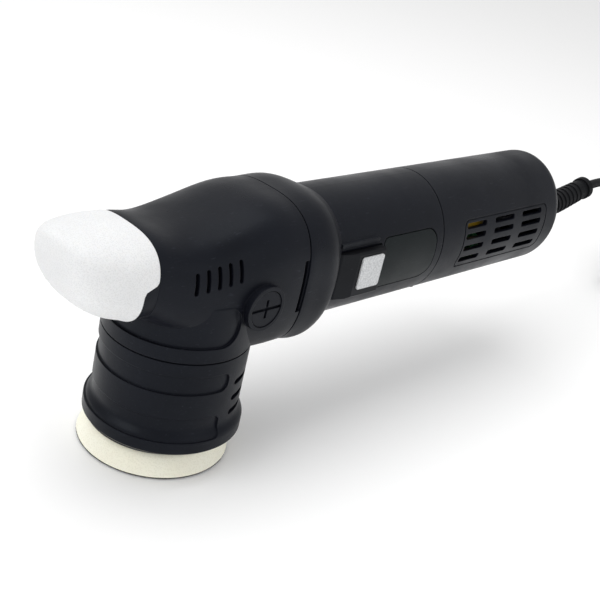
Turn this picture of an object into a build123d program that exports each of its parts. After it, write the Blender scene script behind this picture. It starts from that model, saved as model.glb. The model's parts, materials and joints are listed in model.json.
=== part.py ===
from build123d import *
import math
import os

# Dual action polisher with a 75 mm pad. Millimetres.
# Origin: on the drive spindle's axis, in the plane of the pad's working face.
# +Z runs up the spindle, +X runs back along the handle to the cord.

# --- driving dimensions -------------------------------------------------------------------
AXIS_Z = 92.7  # height of the motor and handle axis
PAD_R = 37.5
ORBIT = (2.1, 5.6)  # where the 6 mm crank throw leaves the pad's axis
HOOK_T = 0.8
PAD_TOP = 12.0
PLATE_TOP = 14.4
PLATE_HUB_TOP = 17.0

NECK_R = 35.5
NECK_WALL = 2.8
SHROUD_TOP = 66.0
LIP_R = 38.4
LIP_BOTTOM = 18.6
LIP_SHOULDER = 24.5
NECK_TOP = 94.0

SHELL = 2.5
BODY_POWER = 2.8  # squareness of the head's slices: 2 is an ellipse
OUTLINE_POINTS = 24
HEAD_REAR = 42.0
NOSE_REAR = -39.4
NOSE_LENGTH = 36.0
NOSE_POWER = 3.4
CAP_T = 3.0

HANDLE_A = 31.0  # half width of the handle
HANDLE_B = 34.2  # half height of the handle
HANDLE_WALL = 2.8
HANDLE_SEAM = 153.7
TAIL_END = 276.0
TAIL_ROUND = 9.0
REAR_WALL = 2.5

GEAR_TEETH = 40
PINION_TEETH = 10
MODULE = 1.15
FACE_IN = 15.0  # the teeth run from this distance from the shafts' crossing point
FACE_OUT = 23.0
BACKLASH = 0.92  # share of the pitch that a tooth pair fills

FIT = 0.03  # radial running clearance of shafts in bearings
SEAM_W = 0.7  # width and depth of the open joints between casing parts
SEAM_D = 0.9
CORD_D = 6.0

# Slices of the head casing: x, half width, top, bottom.
HEAD_SLICES = [
    (NOSE_REAR, 26.0, 124.8, 84.5),
    (-30.0, 28.2, 123.4, 80.0),
    (-20.0, 30.6, 122.6, 73.5),
    (-8.0, 32.9, 124.1, 66.5),
    (6.0, 34.8, 127.0, 60.5),
    (20.0, 35.8, 130.2, 57.0),
    (32.0, 36.0, 131.5, 56.0),
    (HEAD_REAR, 35.8, 131.3, 56.0),
]
# Slices of the collar behind it: x, half width, top, bottom, squareness.
COLLAR_SLICES = [
    (HEAD_REAR, 35.8, 131.3, 56.0, BODY_POWER),
    (50.0, 36.1, 131.5, 54.9, BODY_POWER),
    (57.0, 36.1, 131.2, 54.6, 2.75),
    (63.0, 35.3, 129.8, 56.2, 2.55),
    (68.0, 33.0, 127.9, 57.9, 2.25),
    (75.6, HANDLE_A - 0.5, AXIS_Z + HANDLE_B - 0.5, AXIS_Z - HANDLE_B + 0.5, 2.0),
]

os.makedirs("parts", exist_ok=True)


# --- helpers ------------------------------------------------------------------------------
def across(x, y=0.0, z=AXIS_Z):
    """Plane square to the handle: local x runs along +Y and local y along +Z."""
    return Plane(origin=(x, y, z), x_dir=(0, 1, 0), z_dir=(1, 0, 0))


def body_slice(x, half_width, top, bottom, power=BODY_POWER, inset=0.0):
    """Sketch one rounded slice of the casing on the plane at x."""
    half = (top - bottom) / 2 - inset
    middle = (top + bottom) / 2
    points = []
    for k in range(OUTLINE_POINTS):
        angle = 2 * math.pi * k / OUTLINE_POINTS
        across_part = math.copysign(abs(math.cos(angle)) ** (2 / power), math.cos(angle))
        up_part = math.copysign(abs(math.sin(angle)) ** (2 / power), math.sin(angle))
        points.append(((half_width - inset) * across_part, middle + half * up_part))
    with BuildSketch(across(x, z=0.0)) as slice_sketch:
        with BuildLine():
            Spline(*points, periodic=True)
        make_face()
    return slice_sketch.sketch


def nose_slice(t, inset=0.0):
    """One slice of the nose, t going from 0 at its rear to 1 at its tip."""
    swell = (1 - t**NOSE_POWER) ** (1 / NOSE_POWER)
    middle = 118.5 + 2.5 * t
    return body_slice(
        NOSE_REAR - (NOSE_LENGTH - inset) * t,
        (26.5 - inset) * swell,
        middle + (6.8 - inset) * swell,
        middle - (34.0 - inset) * swell,
    )


def ring_sector(inner, outer, start, sweep_deg):
    """Face between two radii, from the angle start over sweep_deg."""
    with BuildLine() as outline:
        far = CenterArc((0, 0), outer, start, sweep_deg)
        near = CenterArc((0, 0), inner, start, sweep_deg)
        Line(near @ 0, far @ 0)
        Line(near @ 1, far @ 1)
    make_face(outline.edges())


def x_cylinder(start, end, radius, mode=Mode.ADD, y=0.0, z=AXIS_Z):
    """Cylinder along X between two stations."""
    with BuildSketch(across(start, y, z)) as disc:
        Circle(radius)
    extrude(disc.sketch, amount=end - start, mode=mode)


def z_cylinder(low, high, radius, mode=Mode.ADD, x=0.0, y=0.0):
    """Cylinder along Z between two heights."""
    with BuildSketch(Plane.XY.offset(low)) as disc:
        with Locations((x, y)):
            Circle(radius)
    extrude(disc.sketch, amount=high - low, mode=mode)


def block(x0, x1, y0, y1, z0, z1, mode=Mode.ADD):
    """Box between two corners."""
    with BuildSketch(Plane.XY.offset(z0)) as base:
        with Locations(((x0 + x1) / 2, (y0 + y1) / 2)):
            Rectangle(x1 - x0, y1 - y0)
    extrude(base.sketch, amount=z1 - z0, mode=mode)


def handle_oval(start, end, inset, mode=Mode.ADD):
    """Oval bar of the handle's section between two stations."""
    with BuildSketch(across(start)) as oval:
        Ellipse(HANDLE_A - inset, HANDLE_B - inset)
    extrude(oval.sketch, amount=end - start, mode=mode)


# --- outer casings ------------------------------------------------------------------------
NOSE_STATIONS = (0.0, 0.3, 0.55, 0.75, 0.88, 0.95, 0.985, 0.998)


def neck_recess(low, high, depth, end_x, corner):
    """Cutter for a shallow band around the front of the neck, round-ended on both sides."""
    front_x = -60.0
    with BuildPart() as cutter:
        with BuildSketch(Plane.XZ):
            with Locations(((front_x + end_x) / 2, (low + high) / 2)):
                RectangleRounded(end_x - front_x, high - low, corner)
        extrude(amount=60, both=True)
        with BuildSketch(Plane.XY.offset(low - 1)):
            Circle(NECK_R + 8)
            Circle(NECK_R - depth, mode=Mode.SUBTRACT)
        extrude(amount=high - low + 2, mode=Mode.INTERSECT)
    return cutter.part


with BuildPart() as head_body:
    loft([body_slice(*row) for row in HEAD_SLICES])

with BuildPart() as nose_core:
    loft([nose_slice(t, inset=CAP_T) for t in NOSE_STATIONS])

with BuildPart() as head_void:
    loft([body_slice(*row, inset=SHELL) for row in HEAD_SLICES])
    extrude(body_slice(*HEAD_SLICES[-1], inset=SHELL), amount=1)
    z_cylinder(50, NECK_TOP - 2.5, NECK_R - SHELL)

with BuildPart() as nose_void:
    loft([nose_slice(t, inset=CAP_T + SHELL) for t in NOSE_STATIONS])

PLUG_X = 15.5
PLUG_Z = 90.5
PLUG_SEAT_R = 11.2
SLIT_XS = [-21.5 + 5.6 * k for k in range(5)]

with BuildPart() as head_cover:
    with BuildSketch(Plane.XZ):
        with BuildLine():
            Polyline((0, NECK_TOP), (0, SHROUD_TOP), (NECK_R, SHROUD_TOP), (NECK_R, NECK_TOP - 5))
            RadiusArc((NECK_R, NECK_TOP - 5), (NECK_R - 5, NECK_TOP), -5)
            Line((NECK_R - 5, NECK_TOP), (0, NECK_TOP))
        make_face()
    revolve(axis=Axis.Z)
    # Finger recess around the front of the neck.
    add(neck_recess(73.0, 93.0, 1.2, 4.5, 9.0), mode=Mode.SUBTRACT)
    add(head_body.part)
    add(nose_core.part)
    # Raised round seats for the two side plugs.
    with BuildSketch(Plane.XZ):
        with Locations((PLUG_X, PLUG_Z)):
            Circle(PLUG_SEAT_R)
    extrude(amount=38.5, both=True)
    add(head_void.part, mode=Mode.SUBTRACT)
    add(nose_void.part, mode=Mode.SUBTRACT)
    # Plug counterbores, air slits and the notches beside the seam, on both sides.
    with BuildSketch(Plane.XZ):
        with Locations((PLUG_X, PLUG_Z)):
            Circle(5.4)
    extrude(amount=60, both=True, mode=Mode.SUBTRACT)
    for side in (1, -1):
        with BuildSketch(Plane.XZ.offset(36.0 * side)):
            with Locations((PLUG_X, PLUG_Z)):
                Circle(9.2)
        extrude(amount=10 * side, mode=Mode.SUBTRACT)
    with BuildSketch(Plane.XZ):
        for k, slit_x in enumerate(SLIT_XS):
            with Locations((slit_x, 105.5 + 0.9 * k)):
                SlotOverall(10.2, 2.0, rotation=90)
        with Locations((40.6, 95.6)):
            Rectangle(3.4, 26.4)
    extrude(amount=60, both=True, mode=Mode.SUBTRACT)
head_cover.part.label = "head_cover"
export_step(head_cover.part, "parts/head_cover.step")

with BuildPart() as front_bump_cap:
    loft([nose_slice(t) for t in NOSE_STATIONS])
    add(nose_core.part, mode=Mode.SUBTRACT)
front_bump_cap.part.label = "front_bump_cap"
export_step(front_bump_cap.part, "parts/front_bump_cap.step")

def flare_profile(inset, inner):
    """Half section of the shroud, its outside moved in by inset."""
    with BuildLine() as outline:
        Polyline(
            (inner, SHROUD_TOP),
            (NECK_R - inset - SEAM_D, SHROUD_TOP),
            (NECK_R - inset - SEAM_D, SHROUD_TOP - SEAM_W),
            (NECK_R - inset, SHROUD_TOP - SEAM_W),
            (NECK_R - inset, 31),
        )
        Spline((NECK_R - inset, 31), (LIP_R - inset, LIP_SHOULDER), tangents=[(0, -1), (0, -1)])
        Polyline(
            (LIP_R - inset, LIP_SHOULDER),
            (LIP_R - inset, LIP_BOTTOM + 1),
            (LIP_R - 1 - inset, LIP_BOTTOM),
            (LIP_R - 3, LIP_BOTTOM),
            (LIP_R - 3, LIP_SHOULDER),
            (inner, 32),
            (inner, SHROUD_TOP),
        )
    with BuildSketch(Plane.XZ) as half_section:
        make_face(outline.edges())
    return half_section.sketch


with BuildPart() as shroud_core:
    revolve(flare_profile(0.9, NECK_R - NECK_WALL), axis=Axis.Z)

with BuildPart() as shroud:
    revolve(flare_profile(0.0, NECK_R - NECK_WALL), axis=Axis.Z)
    # Two grip bands round the front, and the air outlets on both sides at the back.
    for low, high, end_x, corner in ((49.2, 58.8, 4.3, 4.0), (25.2, 36.3, 2.5, 3.5)):
        add(neck_recess(low, high, 6.0, end_x, corner), mode=Mode.SUBTRACT)
    add(shroud_core.part)
    with BuildSketch(Plane.XZ):
        with Locations(*[(15.5, z) for z in (34.5, 42.4, 51.0)]):
            SlotOverall(12.0, 3.0)
    extrude(amount=60, both=True, mode=Mode.SUBTRACT)
    # The head casing rests on the back of the shroud's top edge.
    add(head_body.part, mode=Mode.SUBTRACT)
shroud.part.label = "shroud"
export_step(shroud.part, "parts/shroud.step")


# --- pad ----------------------------------------------------------------------------------
PAD_AXIS = Axis((ORBIT[0], ORBIT[1], 0), (0, 0, 1))
PAD_SECTION = Plane(origin=(ORBIT[0], ORBIT[1], 0), x_dir=(1, 0, 0), z_dir=(0, -1, 0))
STUD_R = 4.0

with BuildPart() as hook_face:
    z_cylinder(0, HOOK_T, PAD_R - 0.2, x=ORBIT[0], y=ORBIT[1])
hook_face.part.label = "hook_face"
export_step(hook_face.part, "parts/hook_face.step")

with BuildPart() as pad_foam:
    with BuildSketch(PAD_SECTION):
        with BuildLine():
            Line((0, HOOK_T), (PAD_R - 0.3, HOOK_T))
            Spline(
                (PAD_R - 0.3, HOOK_T),
                (PAD_R - 1.4, 2.4),
                (PAD_R - 2.4, 5.0),
                (PAD_R - 2.9, 8.0),
                (PAD_R - 3.4, PAD_TOP),
            )
            Polyline((PAD_R - 3.4, PAD_TOP), (0, PAD_TOP), (0, HOOK_T))
        make_face()
    revolve(axis=PAD_AXIS)
pad_foam.part.label = "pad_foam"
export_step(pad_foam.part, "parts/pad_foam.step")

with BuildPart() as backing_plate:
    z_cylinder(PAD_TOP, PLATE_TOP, PAD_R - 3.6, x=ORBIT[0], y=ORBIT[1])
    z_cylinder(PLATE_TOP, PLATE_HUB_TOP, 11.0, x=ORBIT[0], y=ORBIT[1])
    z_cylinder(PAD_TOP, PLATE_HUB_TOP, STUD_R, Mode.SUBTRACT, *ORBIT)
    with BuildSketch(Plane.XY.offset(PAD_TOP)):
        with Locations(ORBIT):
            RegularPolygon(6.5, 6, major_radius=False)
    extrude(amount=1.8, mode=Mode.SUBTRACT)
backing_plate.part.label = "backing_plate"
export_step(backing_plate.part, "parts/backing_plate.step")

with BuildPart() as pad_stud:
    with BuildSketch(Plane.XY.offset(PAD_TOP)):
        with Locations(ORBIT):
            RegularPolygon(6.5, 6, major_radius=False)
    extrude(amount=1.8)
    z_cylinder(PAD_TOP + 1.8, 27.0, STUD_R, x=ORBIT[0], y=ORBIT[1])
pad_stud.part.label = "pad_stud"
export_step(pad_stud.part, "parts/pad_stud.step")

with BuildPart() as pad_spindle:
    with BuildSketch(Plane.XY.offset(PLATE_HUB_TOP)):
        with Locations(ORBIT):
            RegularPolygon(8.5, 6, major_radius=False)
    extrude(amount=4.0)
    z_cylinder(21.0, 43.2, 6.0 - FIT, x=ORBIT[0], y=ORBIT[1])
    z_cylinder(PLATE_HUB_TOP, 28.0, STUD_R, Mode.SUBTRACT, *ORBIT)
    z_cylinder(41.5, 42.5, 6.0, Mode.SUBTRACT, *ORBIT)
    z_cylinder(41.5, 42.5, 5.2, x=ORBIT[0], y=ORBIT[1])
pad_spindle.part.label = "pad_spindle"
export_step(pad_spindle.part, "parts/pad_spindle.step")

with BuildPart() as pad_spindle_ring:
    with BuildSketch(Plane(origin=(ORBIT[0], ORBIT[1], 41.5))):
        ring_sector(5.2, 8.2, 20, 320)
    extrude(amount=1.0)
pad_spindle_ring.part.label = "pad_spindle_ring"
export_step(pad_spindle_ring.part, "parts/pad_spindle_ring.step")

# --- crank and drive spindle --------------------------------------------------------------
CRANK_LOW = 22.0
CRANK_SHOULDER = 47.0
CRANK_TOP = 50.1
CRANK_R = 18.5
PAD_BEARING_R = 14.0
SPINDLE_R = 7.5
WEIGHT_ANGLE = math.degrees(math.atan2(ORBIT[1], ORBIT[0])) - 180
WEIGHT_SCREW_ANGLES = (WEIGHT_ANGLE - 28, WEIGHT_ANGLE + 28)
WEIGHT_MIDDLE = 36.0


def radial_cylinder(angle, inner, outer, radius, height, mode=Mode.ADD):
    """Cylinder pointing out from the spindle axis at a height."""
    direction = (math.cos(math.radians(angle)), math.sin(math.radians(angle)), 0)
    start = (inner * direction[0], inner * direction[1], height)
    with BuildSketch(Plane(origin=start, z_dir=direction)) as disc:
        Circle(radius)
    extrude(disc.sketch, amount=outer - inner, mode=mode)


with BuildPart() as eccentric_hub:
    z_cylinder(CRANK_LOW, CRANK_SHOULDER, CRANK_R, x=ORBIT[0], y=ORBIT[1])
    z_cylinder(CRANK_SHOULDER, CRANK_TOP, 13.0)
    z_cylinder(CRANK_LOW, 41.3, PAD_BEARING_R, Mode.SUBTRACT, *ORBIT)
    z_cylinder(22.3, 23.0, PAD_BEARING_R + 0.6, Mode.SUBTRACT, *ORBIT)
    z_cylinder(41.3, 44.3, 9.5, Mode.SUBTRACT, *ORBIT)
    z_cylinder(44.3, CRANK_TOP, SPINDLE_R - FIT, Mode.SUBTRACT)
    for screw_angle in WEIGHT_SCREW_ANGLES:
        radial_cylinder(screw_angle, 8.0, 20.0, 1.5, WEIGHT_MIDDLE, Mode.SUBTRACT)
eccentric_hub.part.label = "eccentric_hub"
export_step(eccentric_hub.part, "parts/eccentric_hub.step")

with BuildPart() as pad_bearings:
    for low in (23.0, 33.0):
        z_cylinder(low, low + 8.0, PAD_BEARING_R, x=ORBIT[0], y=ORBIT[1])
    z_cylinder(CRANK_LOW, 42.0, 6.0, Mode.SUBTRACT, *ORBIT)
    # The step between the inner and outer races on both faces.
    for low in (22.5, 30.5, 32.5, 40.5):
        with BuildSketch(Plane.XY.offset(low)):
            with Locations(ORBIT):
                Circle(11.8)
                Circle(8.4, mode=Mode.SUBTRACT)
        extrude(amount=1.0, mode=Mode.SUBTRACT)
pad_bearings.part.label = "pad_bearings"
export_step(pad_bearings.part, "parts/pad_bearings.step")

with BuildPart() as bearing_retaining_ring:
    with BuildSketch(Plane(origin=(ORBIT[0], ORBIT[1], 22.3))):
        ring_sector(12.6, PAD_BEARING_R + 0.6, 15, 330)
    extrude(amount=0.7)
bearing_retaining_ring.part.label = "bearing_retaining_ring"
export_step(bearing_retaining_ring.part, "parts/bearing_retaining_ring.step")

with BuildPart() as counterweight:
    with BuildSketch(Plane.XY.offset(28.0)):
        ring_sector(10.0, 31.0, WEIGHT_ANGLE - 75, 150)
    extrude(amount=16.0)
    z_cylinder(20.0, 50.0, CRANK_R, Mode.SUBTRACT, *ORBIT)
    for screw_angle in WEIGHT_SCREW_ANGLES:
        radial_cylinder(screw_angle, 8.0, 32.0, 1.5, WEIGHT_MIDDLE, Mode.SUBTRACT)
        radial_cylinder(screw_angle, 27.0, 33.0, 3.0, WEIGHT_MIDDLE, Mode.SUBTRACT)
counterweight.part.label = "counterweight"
export_step(counterweight.part, "parts/counterweight.step")

with BuildPart() as counterweight_screws:
    for screw_angle in WEIGHT_SCREW_ANGLES:
        radial_cylinder(screw_angle, 9.5, 27.0, 1.5, WEIGHT_MIDDLE)
        radial_cylinder(screw_angle, 27.0, 30.0, 2.8, WEIGHT_MIDDLE)
        radial_cylinder(screw_angle, 28.6, 31.0, 1.3, WEIGHT_MIDDLE, Mode.SUBTRACT)
counterweight_screws.part.label = "counterweight_screws"
export_step(counterweight_screws.part, "parts/counterweight_screws.step")

with BuildPart() as spindle:
    z_cylinder(44.6, 74.0, SPINDLE_R - FIT)
    z_cylinder(74.0, 92.0, 6.0)
    z_cylinder(92.0, 107.5, 4.0 - FIT)
    chamfer(spindle.edges().group_by(Axis.Z)[-1], 0.6)
spindle.part.label = "spindle"
export_step(spindle.part, "parts/spindle.step")

# --- bevel gears --------------------------------------------------------------------------
# All teeth are cones about the point where the two shafts' axes cross.
PITCH = math.pi * MODULE
PRESSURE = math.radians(20)
PINION_CONE = math.atan(PINION_TEETH / GEAR_TEETH)
GEAR_CONE = math.pi / 2 - PINION_CONE
CONE_DISTANCE = FACE_OUT / math.cos(PINION_CONE)
PINION_ADDENDUM = 1.35
PINION_DEDENDUM = 0.87
GEAR_ADDENDUM = 0.62
GEAR_DEDENDUM = 1.6
PINION_THICKNESS = 0.575 * BACKLASH * PITCH
GEAR_THICKNESS = 0.425 * BACKLASH * PITCH
VIRTUAL_R = CONE_DISTANCE * math.tan(PINION_CONE)


def involute(angle):
    """Involute function of a pressure angle."""
    return math.tan(angle) - angle


def pinion_flank():
    """Radius on the virtual spur pinion and half angle of the tooth, from root to tip."""
    base = VIRTUAL_R * math.cos(PRESSURE)
    half_pitch_angle = PINION_THICKNESS / (2 * VIRTUAL_R)
    widest = half_pitch_angle + involute(PRESSURE)
    tip = VIRTUAL_R + PINION_ADDENDUM
    flank = [(VIRTUAL_R - PINION_DEDENDUM, widest)]
    for k in range(6):
        radius = base + (tip - base) * k / 5
        flank.append((radius, widest - involute(math.acos(min(1.0, base / radius)))))
    return flank


def pinion_outline(station):
    """Sketch the pinion's section square to its axis at a distance from the crossing point."""
    points = []
    for tooth in range(PINION_TEETH):
        centre = 2 * math.pi * tooth / PINION_TEETH - math.pi / 2
        flank = pinion_flank()
        for side, rows in ((-1, flank), (1, list(reversed(flank)))):
            for radius, half_angle in rows:
                cone = PINION_CONE + (radius - VIRTUAL_R) / CONE_DISTANCE
                angle = centre + side * half_angle / math.cos(PINION_CONE)
                reach = station * math.tan(cone)
                points.append((reach * math.cos(angle), reach * math.sin(angle)))
    with BuildSketch(across(station)) as outline:
        with BuildLine():
            Polyline(*points, close=True)
        make_face()
    return outline.sketch


def gear_tooth_outline(station):
    """Sketch one gear tooth's section square to the radius at a distance from the axis."""
    corners = []
    for height, side in (
        (-GEAR_DEDENDUM - 0.3, -1),
        (GEAR_ADDENDUM, -1),
        (GEAR_ADDENDUM, 1),
        (-GEAR_DEDENDUM - 0.3, 1),
    ):
        half_width = GEAR_THICKNESS / 2 - height * math.tan(PRESSURE)
        turn = half_width / FACE_OUT
        cone = GEAR_CONE + height / CONE_DISTANCE
        corners.append(
            (side * station * math.tan(turn), -station / math.tan(cone) / math.cos(turn))
        )
    with BuildSketch(across(station)) as outline:
        with BuildLine():
            Polyline(*corners, close=True)
        make_face()
    return outline.sketch


GEAR_RIM = FACE_OUT + 0.1
ROOT_SLOPE = 1 / math.tan(GEAR_CONE - GEAR_DEDENDUM / CONE_DISTANCE)

with BuildPart() as gear_tooth:
    loft([gear_tooth_outline(FACE_IN), gear_tooth_outline(FACE_OUT)], ruled=True)

with BuildPart() as bevel_gear:
    with BuildSketch(Plane.XZ):
        with BuildLine():
            Polyline(
                (6.0, 74.0),
                (11.0, 74.0),
                (11.0, 76.0),
                (GEAR_RIM, 79.0),
                (GEAR_RIM, AXIS_Z - GEAR_RIM * ROOT_SLOPE),
                (FACE_IN - 0.1, AXIS_Z - (FACE_IN - 0.1) * ROOT_SLOPE),
                (6.0, AXIS_Z - (FACE_IN - 0.1) * ROOT_SLOPE),
                close=True,
            )
        make_face()
    revolve(axis=Axis.Z)
    # The gap between two teeth faces the pinion at rest.
    for k in range(GEAR_TEETH):
        add(gear_tooth.part.rotate(Axis.Z, (k + 0.5) * 360 / GEAR_TEETH))
bevel_gear.part.label = "bevel_gear"
export_step(bevel_gear.part, "parts/bevel_gear.step")

with BuildPart() as bevel_pinion:
    loft([pinion_outline(FACE_IN), pinion_outline(FACE_OUT)], ruled=True)
    x_cylinder(FACE_OUT, 26.8, 5.5)
    x_cylinder(FACE_IN, 26.8, 2.0, Mode.SUBTRACT)
bevel_pinion.part.label = "bevel_pinion"
export_step(bevel_pinion.part, "parts/bevel_pinion.step")

# --- bearing carrier and gear housing -----------------------------------------------------
SCREW_ANGLES = (45, 135, 225, 315)
LUG_R = 28.0
FLANGE_LOW = 63.0
FLANGE_HIGH = 70.0
BOWL_R = 28.0
BOWL_INNER = 25.0
BOWL_TOP = 104.0
CASE_FLANGE = 38.5
CASE_SCREW = 23.0  # the case screws stand this far out from the handle axis each way
FRONT_BEARING_R = 15.0

with BuildPart() as bearing_flange:
    z_cylinder(FLANGE_LOW, FLANGE_HIGH, NECK_R - NECK_WALL)
    z_cylinder(50.5, FLANGE_LOW, 21.0)
    z_cylinder(50.5, 61.5, 17.5, Mode.SUBTRACT)
    z_cylinder(61.5, FLANGE_HIGH, 12.0, Mode.SUBTRACT)
    with BuildSketch(Plane.XY.offset(FLANGE_LOW)):
        with PolarLocations(LUG_R, 4, start_angle=45):
            Circle(1.7)
    extrude(amount=FLANGE_HIGH - FLANGE_LOW, mode=Mode.SUBTRACT)
bearing_flange.part.label = "bearing_flange"
export_step(bearing_flange.part, "parts/bearing_flange.step")

with BuildPart() as flange_screws:
    with BuildSketch(Plane.XY.offset(FLANGE_LOW - 3.5)):
        with PolarLocations(LUG_R, 4, start_angle=45):
            Circle(3.4)
    extrude(amount=3.5)
    with BuildSketch(Plane.XY.offset(FLANGE_LOW)):
        with PolarLocations(LUG_R, 4, start_angle=45):
            Circle(1.7)
    extrude(amount=16.0)
    with BuildSketch(Plane.XY.offset(FLANGE_LOW - 3.5)):
        with PolarLocations(LUG_R, 4, start_angle=45):
            RegularPolygon(1.5, 6, major_radius=False)
    extrude(amount=2.0, mode=Mode.SUBTRACT)
flange_screws.part.label = "flange_screws"
export_step(flange_screws.part, "parts/flange_screws.step")


def race_groove(outer, bore, low):
    """Sketch the ring between a bearing's two races at a height on Z."""
    step = (outer - bore) / 3.2
    with BuildSketch(Plane.XY.offset(low)) as groove:
        Circle(outer - step)
        Circle(bore + step, mode=Mode.SUBTRACT)
    return groove.sketch


with BuildPart() as lower_spindle_bearing:
    z_cylinder(50.5, 61.5, 17.5)
    z_cylinder(50.5, 61.5, SPINDLE_R, Mode.SUBTRACT)
    extrude(race_groove(17.5, SPINDLE_R, 50.0), amount=1.0, mode=Mode.SUBTRACT)
    extrude(race_groove(17.5, SPINDLE_R, 61.0), amount=1.0, mode=Mode.SUBTRACT)
lower_spindle_bearing.part.label = "lower_spindle_bearing"
export_step(lower_spindle_bearing.part, "parts/lower_spindle_bearing.step")

with BuildPart() as upper_spindle_bearing:
    z_cylinder(101.0, 108.0, 11.0)
    z_cylinder(101.0, 108.0, 4.0, Mode.SUBTRACT)
    extrude(race_groove(11.0, 4.0, 100.5), amount=1.0, mode=Mode.SUBTRACT)
upper_spindle_bearing.part.label = "upper_spindle_bearing"
export_step(upper_spindle_bearing.part, "parts/upper_spindle_bearing.step")

with BuildPart() as gear_housing:
    z_cylinder(FLANGE_HIGH, BOWL_TOP, BOWL_R)
    z_cylinder(BOWL_TOP, 109.5, 14.0)
    with BuildSketch(Plane.XY.offset(FLANGE_HIGH)):
        with PolarLocations(LUG_R, 4, start_angle=45):
            Circle(4.0)
    extrude(amount=14.0)
    x_cylinder(18.0, 40.0, 18.5)
    extrude(body_slice(CASE_FLANGE, 35.85, 131.4, 56.0, inset=3.0), amount=HEAD_REAR - CASE_FLANGE)
    # Threaded bosses for the two side plugs.
    with BuildSketch(Plane.XZ):
        with Locations((PLUG_X, PLUG_Z)):
            Circle(8.0)
    extrude(amount=32.2, both=True)
    # Gear room, upper bearing seat, pinion passage and front bearing seat.
    z_cylinder(FLANGE_HIGH, 101.0, BOWL_INNER, Mode.SUBTRACT)
    z_cylinder(101.0, 108.0, 11.0, Mode.SUBTRACT)
    x_cylinder(0.0, 27.0, 11.0, Mode.SUBTRACT)
    x_cylinder(27.0, HEAD_REAR, FRONT_BEARING_R, Mode.SUBTRACT)
    # Open the flange at the sides, top and bottom for the fan's air.
    for side in (1, -1):
        block(38.0, 43.0, side * 30.0 - 8.5, side * 30.0 + 8.5, 83.0, 104.5, Mode.SUBTRACT)
        middle = AXIS_Z + side * 25.5
        block(38.0, 43.0, -11.0, 11.0, middle - 3.5, middle + 3.5, Mode.SUBTRACT)
    for side in (1, -1):
        with BuildSketch(Plane.XZ.offset(-side * 25.0)):
            with Locations((PLUG_X, PLUG_Z)):
                Circle(5.0)
        extrude(amount=-side * 8.0, mode=Mode.SUBTRACT)
    with BuildSketch(Plane.XY.offset(FLANGE_HIGH)):
        with PolarLocations(LUG_R, 4, start_angle=45):
            Circle(1.7)
    extrude(amount=12.0, mode=Mode.SUBTRACT)
    for y in (-CASE_SCREW, CASE_SCREW):
        for z in (AXIS_Z - CASE_SCREW, AXIS_Z + CASE_SCREW):
            x_cylinder(36.0, 43.0, 2.1, Mode.SUBTRACT, y, z)
gear_housing.part.label = "gear_housing"
export_step(gear_housing.part, "parts/gear_housing.step")

with BuildPart() as case_screws:
    for y in (-CASE_SCREW, CASE_SCREW):
        for z in (AXIS_Z - CASE_SCREW, AXIS_Z + CASE_SCREW):
            x_cylinder(35.0, CASE_FLANGE, 3.6, y=y, z=z)
            x_cylinder(CASE_FLANGE, 54.0, 2.1, y=y, z=z)
            x_cylinder(34.0, 37.0, 1.6, Mode.SUBTRACT, y, z)
case_screws.part.label = "case_screws"
export_step(case_screws.part, "parts/case_screws.step")

with BuildPart() as side_plugs:
    for side in (1, -1):
        with BuildSketch(Plane.XZ.offset(-side * 26.0)):
            with Locations((PLUG_X, PLUG_Z)):
                Circle(5.0)
        extrude(amount=-side * 10.0)
        with BuildSketch(Plane.XZ.offset(-side * 36.0)):
            with Locations((PLUG_X, PLUG_Z)):
                Circle(8.9)
        extrude(amount=-side * 2.2)
        with BuildSketch(Plane.XZ.offset(-side * 37.1)):
            with Locations((PLUG_X, PLUG_Z)):
                Rectangle(20.0, 1.5)
                Rectangle(1.5, 9.3)
        extrude(amount=-side * 2.0, mode=Mode.SUBTRACT)
side_plugs.part.label = "side_plugs"
export_step(side_plugs.part, "parts/side_plugs.step")

# --- armature -----------------------------------------------------------------------------
FAN_R = 26.5
FAN_BLADES = 13
SLOTS = 12
CORE_START = 62.0
CORE_END = 100.0
ARMATURE_R = 15.0
COMMUTATOR_R = 11.0

with BuildPart() as armature_shaft:
    for start, end, radius in (
        (13.6, 26.8, 2.0),
        (26.8, 43.0, 5.0 - FIT),
        (43.0, 58.0, 5.5),
        (58.0, 106.0, 6.0),
        (106.0, 127.0, 5.5),
        (127.0, 140.0, 4.0 - FIT),
    ):
        x_cylinder(start, end, radius)
armature_shaft.part.label = "armature_shaft"
export_step(armature_shaft.part, "parts/armature_shaft.step")

with BuildPart() as fan:
    x_cylinder(45.0, 46.5, FAN_R)
    x_cylinder(46.5, 56.5, 9.0)
    with BuildSketch(across(46.5)):
        with PolarLocations(17.5, FAN_BLADES):
            Rectangle(18.6, 1.3, rotation=32)
    extrude(amount=10.0)
    with BuildSketch(across(46.5)):
        Circle(40.0)
        Circle(FAN_R, mode=Mode.SUBTRACT)
    extrude(amount=10.0, mode=Mode.SUBTRACT)
    x_cylinder(45.0, 56.5, 5.5, Mode.SUBTRACT)
fan.part.label = "fan"
export_step(fan.part, "parts/fan.step")

with BuildPart() as armature_core:
    x_cylinder(CORE_START, CORE_END, ARMATURE_R)
    with BuildSketch(across(CORE_START)):
        with PolarLocations(11.7, SLOTS):
            Rectangle(5.0, 3.0)
        with PolarLocations(14.6, SLOTS):
            Rectangle(1.6, 1.4)
        Circle(6.0)
    extrude(amount=CORE_END - CORE_START, mode=Mode.SUBTRACT)
armature_core.part.label = "armature_core"
export_step(armature_core.part, "parts/armature_core.step")

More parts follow.
